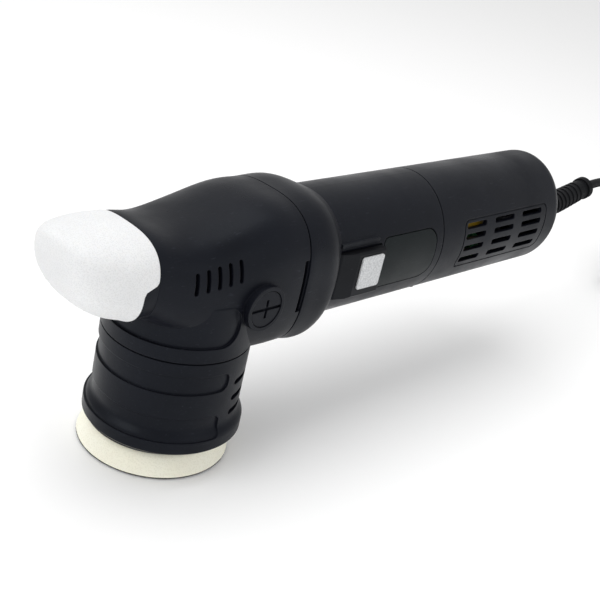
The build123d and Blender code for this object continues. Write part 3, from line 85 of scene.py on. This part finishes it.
def add_floor():
    """A large white floor just below the pad and the cord."""
    mesh = bpy.data.meshes.new("studio_floor")
    form = bmesh.new()
    bmesh.ops.create_grid(form, x_segments=2, y_segments=2, size=FLOOR_HALF)
    form.to_mesh(mesh)
    form.free()
    floor = bpy.data.objects.new("studio_floor", mesh)
    floor.location.z = -FLOOR_DROP
    SCENE.collection.objects.link(floor)
    paper = bpy.data.materials.new("floor_paper")
    paper.use_nodes = True
    shader = paper.node_tree.nodes["Principled BSDF"]
    shader.inputs["Base Color"].default_value = WHITE
    shader.inputs["Roughness"].default_value = 0.9
    mesh.materials.append(paper)


def add_surroundings():
    """Even white light from all round."""
    world = bpy.data.worlds.new("studio")
    world.use_nodes = True
    background = world.node_tree.nodes["Background"]
    background.inputs["Color"].default_value = WHITE
    background.inputs["Strength"].default_value = SKY_STRENGTH
    SCENE.world = world


def add_softbox(name, place, side, power):
    """A square soft light turned to the polisher."""
    data = bpy.data.lights.new(name, "AREA")
    data.shape = "SQUARE"
    data.size = side
    data.energy = power
    light = bpy.data.objects.new(name, data)
    light.location = place
    aim = LIGHT_TARGET - Vector(place)
    light.rotation_euler = aim.to_track_quat("-Z", "Y").to_euler()
    SCENE.collection.objects.link(light)


SCENE.view_settings.view_transform = "Standard"
add_camera()
add_floor()
add_surroundings()
for softbox in SOFTBOXES:
    add_softbox(*softbox)


# --- materials ------------------------------------------------------------------------------
# The colour Mix node has several sockets of one name, so these are told apart by number.
MIX_SHARE = 0
MIX_FIRST = 6
MIX_SECOND = 7
MIX_RESULT = 2
PLASTIC_SPECULAR = 0.13
PLASTIC_TINT = (0.84, 0.92, 1.0, 1.0)
SCATTER_SHARE = 0.06
SCATTER_RADII = (0.004, 0.003, 0.002)


def new_node(tree, kind, **values):
    """A shader node; values set its inputs or, failing that, its properties."""
    made = tree.nodes.new(kind)
    for key, value in values.items():
        socket = key.replace("_", " ")
        if socket in made.inputs:
            made.inputs[socket].default_value = value
        else:
            setattr(made, key, value)
    return made


def new_material(name, rough, metal=0.0, **extra):
    """A new material, its node tree, its shader and its object coordinates."""
    material = bpy.data.materials.new(name)
    material.use_nodes = True
    tree = material.node_tree
    shader = tree.nodes["Principled BSDF"]
    shader.inputs["Roughness"].default_value = rough
    shader.inputs["Metallic"].default_value = metal
    for key, value in extra.items():
        shader.inputs[key.replace("_", " ")].default_value = value
    place = new_node(tree, "ShaderNodeTexCoord").outputs["Object"]
    return material, tree, shader, place


def noise_value(tree, place, scale, detail=4.0, stretch=(1.0, 1.0, 1.0)):
    """Noise between about 0.25 and 0.75, optionally stretched along an axis."""
    moved = new_node(tree, "ShaderNodeMapping", Scale=stretch)
    tree.links.new(place, moved.inputs["Vector"])
    made = new_node(tree, "ShaderNodeTexNoise", Scale=scale, Detail=detail)
    tree.links.new(moved.outputs["Vector"], made.inputs["Vector"])
    return made.outputs["Fac"]


def remapped(tree, value, low, high, start=0.3, end=0.7):
    """A value spread over low to high."""
    made = new_node(tree, "ShaderNodeMapRange", From_Min=start, From_Max=end, To_Min=low, To_Max=high)
    tree.links.new(value, made.inputs["Value"])
    return made.outputs["Result"]


def blended(tree, share, first, second):
    """Colour going from first to second by share; each is a colour or a socket."""
    made = new_node(tree, "ShaderNodeMix", data_type="RGBA")
    tree.links.new(share, made.inputs[MIX_SHARE])
    for colour, socket in ((first, made.inputs[MIX_FIRST]), (second, made.inputs[MIX_SECOND])):
        if isinstance(colour, tuple):
            socket.default_value = (*colour, 1.0)
        else:
            tree.links.new(colour, socket)
    return made.outputs[MIX_RESULT]


def bumped(tree, shader, heights, edge=0.0):
    """Bumps the shader by (value, strength, depth in mm) pairs, over softened edges."""
    normal = None
    if edge:
        normal = new_node(tree, "ShaderNodeBevel", samples=6, Radius=edge * MM).outputs["Normal"]
    for value, strength, depth in heights:
        bump = new_node(tree, "ShaderNodeBump", Strength=strength, Distance=depth * MM)
        tree.links.new(value, bump.inputs["Height"])
        if normal is not None:
            tree.links.new(normal, bump.inputs["Normal"])
        normal = bump.outputs["Normal"]
    tree.links.new(normal, shader.inputs["Normal"])


def moulded(name, dark, light, rough, grain=1400.0, depth=0.12, edge=0.5, scuffs=0.5):
    """Satin moulded plastic: sparked grain, faint mottling, rubbed patches and fine scuffs."""
    material, tree, shader, place = new_material(
        name, rough, Specular_IOR_Level=PLASTIC_SPECULAR, Specular_Tint=PLASTIC_TINT
    )
    mottle = remapped(tree, noise_value(tree, place, 22.0, 6.0), 0.0, 1.0)
    colour = blended(tree, mottle, dark, light)
    scratch = noise_value(tree, place, 160.0, 3.0, (1.0, 7.0, 7.0))
    scratch = remapped(tree, scratch, 0.0, scuffs, 0.64, 0.74)
    pale = tuple(min(1.0, 2.2 * c + 0.01) for c in light)
    tree.links.new(blended(tree, scratch, colour, pale), shader.inputs["Base Color"])
    rubbed = remapped(tree, noise_value(tree, place, 34.0, 8.0), rough - 0.11, rough + 0.12)
    tree.links.new(rubbed, shader.inputs["Roughness"])
    fine = noise_value(tree, place, grain, 2.0)
    broad = noise_value(tree, place, 70.0, 3.0)
    bumped(tree, shader, [(broad, 0.12, 0.25), (fine, 0.32, depth)], edge)
    return material


def machined(name, dark, light, rough, stretch, edge=0.25, depth=0.03):
    """Metal with fine tool marks along one direction and faint staining."""
    material, tree, shader, place = new_material(name, rough, metal=1.0)
    stain = remapped(tree, noise_value(tree, place, 60.0, 6.0), 0.0, 1.0)
    tree.links.new(blended(tree, stain, dark, light), shader.inputs["Base Color"])
    marks = noise_value(tree, place, 900.0, 4.0, stretch)
    tree.links.new(remapped(tree, marks, rough - 0.1, rough + 0.12), shader.inputs["Roughness"])
    bumped(tree, shader, [(marks, 0.35, depth)], edge)
    return material


def porous(name, dark, light, rough, pores, depth):
    """Soft moulded surface with closed pores."""
    material, tree, shader, place = new_material(
        name, rough, Subsurface_Weight=SCATTER_SHARE, Subsurface_Radius=SCATTER_RADII
    )
    cells = new_node(tree, "ShaderNodeTexVoronoi", Scale=pores, Randomness=1.0)
    tree.links.new(place, cells.inputs["Vector"])
    pits = remapped(tree, cells.outputs["Distance"], 0.0, 1.0, 0.05, 0.55)
    mottle = remapped(tree, noise_value(tree, place, 30.0, 6.0), 0.0, 1.0)
    colour = blended(tree, mottle, dark, light)
    shade = tuple(0.93 * c for c in dark)
    tree.links.new(blended(tree, pits, shade, colour), shader.inputs["Base Color"])
    fine = noise_value(tree, place, pores * 1.7, 3.0)
    uneven = noise_value(tree, place, 90.0, 3.0)
    pebbles = noise_value(tree, place, pores * 0.45, 2.0)
    dull = remapped(tree, fine, rough - 0.06, min(1.0, rough + 0.08))
    tree.links.new(dull, shader.inputs["Roughness"])
    heights = [(uneven, 0.25, 0.4), (pebbles, 0.4, depth * 1.6), (fine, 0.4, depth), (pits, 0.3, depth)]
    bumped(tree, shader, heights)
    return material


def pebbled(name, dark, light, rough):
    """Hard plastic with a raised pebble texture."""
    material, tree, shader, place = new_material(name, rough)
    cells = new_node(tree, "ShaderNodeTexVoronoi", Scale=1150.0, feature="SMOOTH_F1")
    tree.links.new(place, cells.inputs["Vector"])
    height = remapped(tree, cells.outputs["Distance"], 1.0, 0.0, 0.1, 0.6)
    dirt = remapped(tree, noise_value(tree, place, 90.0, 6.0), 0.0, 0.5)
    colour = blended(tree, height, dark, light)
    tree.links.new(blended(tree, dirt, colour, dark), shader.inputs["Base Color"])
    worn = remapped(tree, height, rough + 0.1, rough - 0.05, 0.0, 1.0)
    tree.links.new(worn, shader.inputs["Roughness"])
    bumped(tree, shader, [(height, 0.6, 0.18)], 0.4)
    return material


def banded(name, dark, light, rough, bands, depth):
    """Metal in stacked sheets, wound wire or segments: even bands across the X axis."""
    material, tree, shader, place = new_material(name, rough, metal=1.0)
    wave = new_node(tree, "ShaderNodeTexWave", bands_direction="X", Scale=bands, Distortion=0.4)
    tree.links.new(place, wave.inputs["Vector"])
    stain = remapped(tree, noise_value(tree, place, 80.0, 6.0), 0.0, 0.6)
    colour = blended(tree, wave.outputs["Fac"], dark, light)
    tree.links.new(blended(tree, stain, colour, dark), shader.inputs["Base Color"])
    tree.links.new(remapped(tree, stain, rough, rough + 0.15, 0.0, 0.6), shader.inputs["Roughness"])
    bumped(tree, shader, [(wave.outputs["Fac"], 0.6, depth)])
    return material


def circuit_board(name):
    """Green lacquer over copper tracks."""
    material, tree, shader, place = new_material(name, 0.3, Coat_Weight=0.3)
    tracks = new_node(tree, "ShaderNodeTexBrick", Scale=160.0, Mortar_Size=0.03, Bias=-0.2)
    tree.links.new(place, tracks.inputs["Vector"])
    haze = remapped(tree, noise_value(tree, place, 120.0, 4.0), 0.0, 0.7)
    green = blended(tree, haze, (0.015, 0.10, 0.04), (0.03, 0.17, 0.07))
    colour = blended(tree, tracks.outputs["Fac"], green, (0.10, 0.26, 0.10))
    tree.links.new(colour, shader.inputs["Base Color"])
    tree.links.new(remapped(tree, haze, 0.25, 0.4, 0.0, 0.7), shader.inputs["Roughness"])
    bumped(tree, shader, [(tracks.outputs["Fac"], 0.4, 0.05)])
    return material


def woven(name, dark, light, rough):
    """Dense nap of short fibres."""
    material, tree, shader, place = new_material(name, rough, Sheen_Weight=0.4)
    fibres = noise_value(tree, place, 2400.0, 6.0, (1.0, 1.0, 0.4))
    share = remapped(tree, fibres, 0.0, 1.0)
    tree.links.new(blended(tree, share, dark, light), shader.inputs["Base Color"])
    tree.links.new(remapped(tree, fibres, rough - 0.1, rough + 0.1), shader.inputs["Roughness"])
    bumped(tree, shader, [(fibres, 0.9, 0.3)])
    return material


TURNED = (0.15, 0.15, 6.0)
GROUND = (6.0, 0.3, 0.3)
CAST = (1.0, 1.0, 1.0)


def recipe(make, dark, light, rough, **options):
    """How to make one material, once its name is known."""
    return partial(make, dark=dark, light=light, rough=rough, **options)


RECIPES = {
    "casing_plastic": recipe(moulded, (0.0034, 0.0038, 0.0064), (0.0056, 0.0063, 0.0102), 0.37),
    "panel_plastic": recipe(
        moulded, (0.0050, 0.0072, 0.0076), (0.0072, 0.0098, 0.0102), 0.40, grain=1800.0, depth=0.08
    ),
    "bump_rubber": recipe(porous, (0.70, 0.705, 0.71), (0.78, 0.785, 0.79), 0.72, pores=1500.0, depth=0.22),
    "switch_grey": recipe(pebbled, (0.48, 0.49, 0.50), (0.74, 0.75, 0.76), 0.5),
    "switch_black": recipe(
        moulded, (0.0035, 0.0035, 0.0045), (0.0055, 0.0055, 0.0068), 0.4, grain=1600.0, depth=0.06
    ),
    "pad_foam": recipe(porous, (0.93, 0.905, 0.75), (0.96, 0.945, 0.82), 0.8, pores=1100.0, depth=0.2),
    "hook_fabric": recipe(woven, (0.015, 0.015, 0.015), (0.075, 0.072, 0.068), 0.9),
    "plate_plastic": recipe(moulded, (0.03, 0.03, 0.03), (0.06, 0.06, 0.06), 0.5, grain=900.0, depth=0.1),
    "steel": recipe(machined, (0.46, 0.47, 0.48), (0.62, 0.63, 0.64), 0.32, stretch=TURNED),
    "black_steel": recipe(machined, (0.03, 0.03, 0.033), (0.07, 0.07, 0.075), 0.45, stretch=TURNED),
    "cast_alloy": recipe(
        machined, (0.44, 0.45, 0.46), (0.58, 0.59, 0.60), 0.5, stretch=CAST, edge=0.4, depth=0.12
    ),
    "laminations": recipe(banded, (0.16, 0.16, 0.165), (0.42, 0.42, 0.43), 0.4, bands=500.0, depth=0.1),
    "copper": recipe(banded, (0.36, 0.13, 0.05), (0.70, 0.32, 0.14), 0.3, bands=330.0, depth=0.2),
    "carbon": recipe(moulded, (0.02, 0.02, 0.021), (0.05, 0.05, 0.052), 0.6, grain=1200.0, depth=0.05),
    "brass": recipe(machined, (0.62, 0.46, 0.20), (0.78, 0.62, 0.33), 0.3, stretch=GROUND),
    "fan_plastic": recipe(moulded, (0.03, 0.03, 0.034), (0.06, 0.06, 0.066), 0.48, grain=1000.0, depth=0.08),
    "brown_plastic": recipe(moulded, (0.12, 0.045, 0.022), (0.20, 0.08, 0.04), 0.45, grain=800.0, depth=0.08),
    "yellow_plastic": recipe(
        moulded, (0.20, 0.12, 0.008), (0.30, 0.19, 0.012), 0.4, grain=900.0, depth=0.06
    ),
    "board": circuit_board,
    "cord_rubber": recipe(
        moulded,
        (0.0035, 0.0035, 0.0042),
        (0.0065, 0.0065, 0.0075),
        0.5,
        grain=1500.0,
        depth=0.08,
        edge=0.3,
        scuffs=0.7,
    ),
    "plug_plastic": recipe(
        moulded, (0.010, 0.010, 0.011), (0.018, 0.018, 0.019), 0.48, grain=1200.0, depth=0.1
    ),
    "plug_metal": recipe(machined, (0.60, 0.59, 0.57), (0.74, 0.73, 0.71), 0.2, stretch=GROUND),
}
MATERIALS = {slot: make(slot) for slot, make in RECIPES.items()}

for part in frame["record"]["subparts"]:
    node_mesh = NODES[part["node"]].data
    node_mesh.materials.clear()
    node_mesh.materials.append(MATERIALS[part["material_slot"]])


# --- mesh pieces ----------------------------------------------------------------------------
# The pieces are worked out in millimetres; add_piece and add_cord scale them to metres.
SHARP_ANGLE = math.radians(50)


def add_piece(name, form, body, slot, *stands_for):
    """Turns a bmesh given in millimetres into a smooth piece riding on a body."""
    bmesh.ops.scale(form, vec=(MM, MM, MM), verts=form.verts)
    bmesh.ops.recalc_face_normals(form, faces=form.faces)
    mesh = bpy.data.meshes.new(name)
    form.to_mesh(mesh)
    form.free()
    mesh.materials.append(MATERIALS[slot])
    mesh.shade_smooth()
    mesh.set_sharp_from_angle(angle=SHARP_ANGLE)
    piece = bpy.data.objects.new(name, mesh)
    SCENE.collection.objects.link(piece)
    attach(piece, body)
    if stands_for:
        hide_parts(*stands_for)
    return piece


def ring_angles(count):
    """Evenly spaced angles once round."""
    return [2 * math.pi * k / count for k in range(count)]


def round_place(centre, radius, angle, z):
    """A place round an upright axis through centre."""
    return (centre[0] + radius * math.cos(angle), centre[1] + radius * math.sin(angle), z)


def add_rings(form, rings, closed=False):
    """Joins rings of places into faces, and the last to the first if closed.

    A ring of one place makes a pole. Returns the rings of vertices."""
    made = [[form.verts.new(place) for place in ring] for ring in rings]
    for first, second in zip(made, made[1:]):
        count = max(len(first), len(second))
        for k in range(count):
            corners = [
                first[k % len(first)],
                first[(k + 1) % len(first)],
                second[(k + 1) % len(second)],
                second[k % len(second)],
            ]
            form.faces.new(list(dict.fromkeys(corners)))
    if closed:
        last, first = made[-1], made[0]
        for k in range(len(first)):
            beside = (k + 1) % len(first)
            form.faces.new([last[k], last[beside], first[beside], first[k]])
    return made


# --- soft front bumper ----------------------------------------------------------------------
# Along the bumper, t goes from 0 at the rear edge to 1 at the tip.
CAP_REAR = -39.4
CAP_LENGTH = 36.0
CAP_HALF_W = 26.5
CAP_RISE = 6.8
CAP_DROP = 34.0
CAP_MIDDLE = 118.5
CAP_MIDDLE_CLIMB = 2.5
CAP_RING = 144
CAP_SLICES = 44

# The rear edge steps forward by CAP_STEP below CAP_STEP_Z, and less so further forward.
CAP_STEP = 7.0
CAP_STEP_Z = 106.0
STEP_SHARPNESS = 1.8
STEP_FADE = 3.5

# A slice is a superellipse of this power, which falls towards the tip.
CAP_POWER = 2.8
CAP_POWER_FALL = 0.4

# The two powers by which the slices close in towards the tip.
SIDE_CLOSING = (3.3, 3.1)
TOP_CLOSING = (2.8, 2.4)
LOW_CLOSING = (2.8, 2.5)
CORE_CLOSING = (3.4, 3.4)

CORE_INSET = 2.85
# The rolled rear edge: t, and how far inside the outer surface.
ROLLED_EDGE = [(0.0, 1.0), (0.005, 0.4), (0.018, 0.1)]
CAP_UNEVEN = 0.3
CAP_UNEVEN_SCALE = 0.06
UNEVEN_ONSET = 8

# The casing's band under the bumper: where it ends along t, how far inside the bumper's outer
# surface its outside and its inside lie, and how much its front edge is rolled in.
BAND_END = 0.24
BAND_INSET = 0.5
BAND_INNER = 2.4
BAND_ROLL = 0.3


def rounded_section(t, angle, inset, side, top, low, power, step=CAP_STEP):
    """A place on one slice; side, top and low are how far it has closed in there."""
    cos, sin = math.cos(angle), math.sin(angle)
    y = math.copysign(abs(cos) ** (2 / power), cos)
    z = math.copysign(abs(sin) ** (2 / power), sin)
    belt = CAP_MIDDLE + CAP_MIDDLE_CLIMB * t
    high = belt + (CAP_RISE - inset) * top
    deep = belt - (CAP_DROP - inset) * low
    place = Vector(
        (
            CAP_REAR - (CAP_LENGTH - inset) * t,
            y * (CAP_HALF_W - inset) * side,
            (high + deep) / 2 + z * (high - deep) / 2,
        )
    )
    low_down = 1 / (1 + math.exp((place.z - CAP_STEP_Z) * STEP_SHARPNESS))
    place.x -= step * low_down * max(0.0, 1 - STEP_FADE * t)
    return place


def closing(t, powers):
    """How far a slice has closed in: 1 at the rear edge and 0 at the tip."""
    return max(0.0, 1 - t ** powers[0]) ** (1 / powers[1])


def cap_closing(t):
    """How far the bumper's slice has closed in at the sides, at the top and below."""
    return closing(t, SIDE_CLOSING), closing(t, TOP_CLOSING), closing(t, LOW_CLOSING)


def cap_power(t):
    """The power of the bumper's slice."""
    return CAP_POWER - CAP_POWER_FALL * t


def cap_place(t, angle, inset=0.0):
    """A place on the bumper's outside, which is slightly uneven."""
    sizes = cap_closing(t)
    place = rounded_section(t, angle, inset, *sizes, cap_power(t))
    out = Vector((0.0, math.cos(angle), math.sin(angle)))
    swell = CAP_UNEVEN * (noise.noise(place * CAP_UNEVEN_SCALE) - 0.5)
    return place + out * swell * min(1.0, UNEVEN_ONSET * t) * sizes[0]


def core_place(t, angle):
    """A place on the bumper's inside, just off the nose that it covers."""
    size = closing(t, CORE_CLOSING)
    return rounded_section(t, angle, CORE_INSET, size, size, size, CAP_POWER)


def add_bumper():
    """Soft cap over the nose: a shell with a rolled rear edge."""
    stations = [math.sin(math.pi / 2 * k / CAP_SLICES) for k in range(CAP_SLICES)]
    angles = ring_angles(CAP_RING)
    rings = [[core_place(1.0, 0.0)]]
    rings += [[core_place(t, a) for a in angles] for t in reversed(stations)]
    rings += [[cap_place(t, a, inset) for a in angles] for t, inset in ROLLED_EDGE]
    rings += [[cap_place(t, a) for a in angles] for t in stations[1:]]
    rings.append([cap_place(1.0, 0.0)])
    form = bmesh.new()
    add_rings(form, rings)
    cap = add_piece("soft_bumper", form, "case", "bump_rubber", "front_bump_cap")


def add_nose_band():
    """The casing's raised band that fills the step behind the bumper's lower edge."""
    stages = [(0.0, BAND_INNER)]
    stages += [(t, BAND_INSET) for t in (0.0, 0.06, 0.12, 0.18, BAND_END - 0.01)]
    stages += [(BAND_END, BAND_INSET + BAND_ROLL), (BAND_END, BAND_INNER)]
    rings = []
    for t, inset in stages:
        shape = (*cap_closing(t), cap_power(t))
        rings.append([rounded_section(t, a, inset, *shape, step=0.0) for a in ring_angles(CAP_RING)])
    form = bmesh.new()
    add_rings(form, rings, closed=True)
    add_piece("nose_band", form, "case", "casing_plastic")


# --- pad ------------------------------------------------------------------------------------
PAD_CENTRE = (2.1, 5.6)
PAD_R = 37.5
PAD_TOP = 12.0
PAD_RING = 180
HOOK_T = 0.8
# Radius and height round the foam ring, from its inner edge over the top and back below.
PAD_PROFILE = [
    (8.0, PAD_TOP),
    (20.0, PAD_TOP),
    (29.5, 11.9),
    (32.2, 11.4),
    (33.4, 10.4),
    (34.0, 9.2),
    (34.6, 7.6),
    (35.5, 5.4),
    (36.5, 3.3),
    (37.2, 1.9),
    (37.4, 1.3),
    (37.1, 0.9),
    (36.2, HOOK_T),
    (20.0, HOOK_T),
    (8.0, HOOK_T),
]
FOAM_UNEVEN = 0.12
FOAM_SKIN = (1.0, PAD_TOP - 0.3)

HOOK_BASE = 0.38
DISC_TRIM = 0.05
DISC_WEAR = 0.22
# The backing disc: share of the pad's radius, and height.
DISC_PROFILE = [(0.0, HOOK_T), (0.99, HOOK_T), (1.0, 0.6), (0.995, HOOK_BASE), (0.0, HOOK_BASE)]
# One mushroom hook: radius and height, from its root in the disc to its flat head.
HOOK_PROFILE = [(0.16, HOOK_BASE + 0.05), (0.14, 0.16), (0.42, 0.13), (0.30, 0.0)]
HOOK_SIDES = 6
HOOK_PITCH = 1.7
HOOK_ROW_SHARE = 0.87
HOOK_JITTER = 0.15
HOOK_MARGIN = 0.9


def foam_place(radius, angle, z):
    """A place on the foam, whose side is slightly uneven."""
    dent = noise.noise(Vector((4 * math.cos(angle), 4 * math.sin(angle), z * 0.3)))
    uneven = FOAM_UNEVEN if FOAM_SKIN[0] < z < FOAM_SKIN[1] else 0.0
    return round_place(PAD_CENTRE, radius + uneven * (dent - 0.5), angle, z)


def add_foam():
    """The pad's moulded foam ring."""
    form = bmesh.new()
    rings = [[foam_place(radius, a, z) for a in ring_angles(PAD_RING)] for radius, z in PAD_PROFILE]
    add_rings(form, rings, closed=True)
    foam = add_piece("pad_foam_ring", form, "pad", "pad_foam", "pad_foam")


def add_hook(form, x, y):
    """One mushroom hook at x, y from the pad's axis."""
    centre = (PAD_CENTRE[0] + x, PAD_CENTRE[1] + y)
    rings = []
    for radius, z in HOOK_PROFILE:
        rings.append([round_place(centre, radius, a, z) for a in ring_angles(HOOK_SIDES)])
    ends = add_rings(form, rings)
    form.faces.new(ends[0])
    form.faces.new(ends[-1])


def add_hooks():
    """The hook face: a thin backing disc with a grid of mushroom hooks below it."""
    form = bmesh.new()
    chance = random.Random(7)
    angles = ring_angles(PAD_RING * 2)
    edge = [PAD_R - DISC_TRIM - DISC_WEAR * chance.random() for _ in angles]
    rings = []
    for share, z in DISC_PROFILE:
        if share == 0.0:
            rings.append([round_place(PAD_CENTRE, 0.0, 0.0, z)])
        else:
            rings.append([round_place(PAD_CENTRE, r * share, a, z) for r, a in zip(edge, angles)])
    add_rings(form, rings)
    steps = int(PAD_R / HOOK_PITCH) + 1
    for row in range(-steps, steps + 1):
        for column in range(-steps, steps + 1):
            x = (column + 0.5 * (row % 2)) * HOOK_PITCH + HOOK_JITTER * (chance.random() - 0.5)
            y = row * HOOK_PITCH * HOOK_ROW_SHARE + HOOK_JITTER * (chance.random() - 0.5)
            if math.hypot(x, y) <= PAD_R - HOOK_MARGIN:
                add_hook(form, x, y)
    add_piece("pad_hook_face", form, "pad", "hook_fabric", "hook_face")


add_bumper()
add_nose_band()
add_foam()
add_hooks()


# --- cord -----------------------------------------------------------------------------------
CORD_D = 6.0
# From the strain relief to the coil, and from the coil to the plug.
CORD_ROUTE = [
    (355.61, 0.0, 93.64),
    (374.0, 0.0, 95.8),
    (393.0, -0.5, 93.0),
    (410.0, 0.3, 80.0),
    (422.5, 1.8, 60.0),
    (434.0, 3.0, 38.0),
    (446.5, 4.0, 20.0),
    (462.0, 7.0, 7.5),
    (481.0, 9.5, 3.1),
]
TAIL_ROUTE = [
    (452.1, -46.4, 23.5),
    (451.5, -27.9, 27.5),
    (459.6, -11.3, 31.0),
    (474.6, -0.4, 33.0),
    (492.2, 1.9, 33.0),
]
COIL_CENTRE = (497.0, -35.0)
COIL_OUT = 45.0
COIL_IN = 27.0
COIL_LIFT = 0.1
# The turns are laid in flat layers; between two layers the cord climbs for part of a turn.
COIL_LAYERS = 4
LAYER_TURNS = 3
COIL_STEPS = 14
# Where round the coil the cord comes in and leaves, in degrees.
COIL_START = 90.0
COIL_END = -145.0
CLIMB_TURN = (COIL_START - COIL_END) / 360 / (COIL_LAYERS - 1)


def coil_points():
    """Places along the layers, which go in, out, in and out again, a diameter apart."""
    turns = COIL_LAYERS * LAYER_TURNS + (COIL_LAYERS - 1) * CLIMB_TURN
    count = round(turns * COIL_STEPS)
    # The curve runs inside its points, so they stand out by this much.
    widen = 1 / math.cos(math.pi / COIL_STEPS)
    points = []
    for k in range(count + 1):
        turn = turns * k / count
        layer = min(COIL_LAYERS - 1, int(turn / (LAYER_TURNS + CLIMB_TURN)))
        within = turn - layer * (LAYER_TURNS + CLIMB_TURN)
        share = min(1.0, within / LAYER_TURNS)
        climb = min(1.0, max(0.0, (within - LAYER_TURNS) / CLIMB_TURN))
        inward = share if layer % 2 == 0 else 1 - share
        radius = COIL_OUT + (COIL_IN - COIL_OUT) * inward
        angle = math.radians(COIL_START) - 2 * math.pi * turn
        z = CORD_D / 2 + COIL_LIFT + CORD_D * (layer + climb)
        points.append(round_place(COIL_CENTRE, radius * widen, angle, z))
    return points


def add_cord():
    """The whole free cord as one smooth line, from the strain relief to the plug."""
    points = CORD_ROUTE + coil_points() + TAIL_ROUTE
    data = bpy.data.curves.new("supply_cord", "CURVE")
    data.dimensions = "3D"
    data.bevel_depth = CORD_D / 2 * MM
    data.bevel_resolution = 6
    data.use_fill_caps = True
    data.resolution_u = 5
    spline = data.splines.new("NURBS")
    spline.points.add(len(points) - 1)
    for point, place in zip(spline.points, points):
        point.co = (*(c * MM for c in place), 1.0)
    spline.order_u = 3
    spline.use_endpoint_u = True
    data.materials.append(MATERIALS["cord_rubber"])
    cord = bpy.data.objects.new("supply_cord", data)
    SCENE.collection.objects.link(cord)
    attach(cord, "case")
    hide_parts("power_cord", "cord_coil", "power_cord_end")


add_cord()
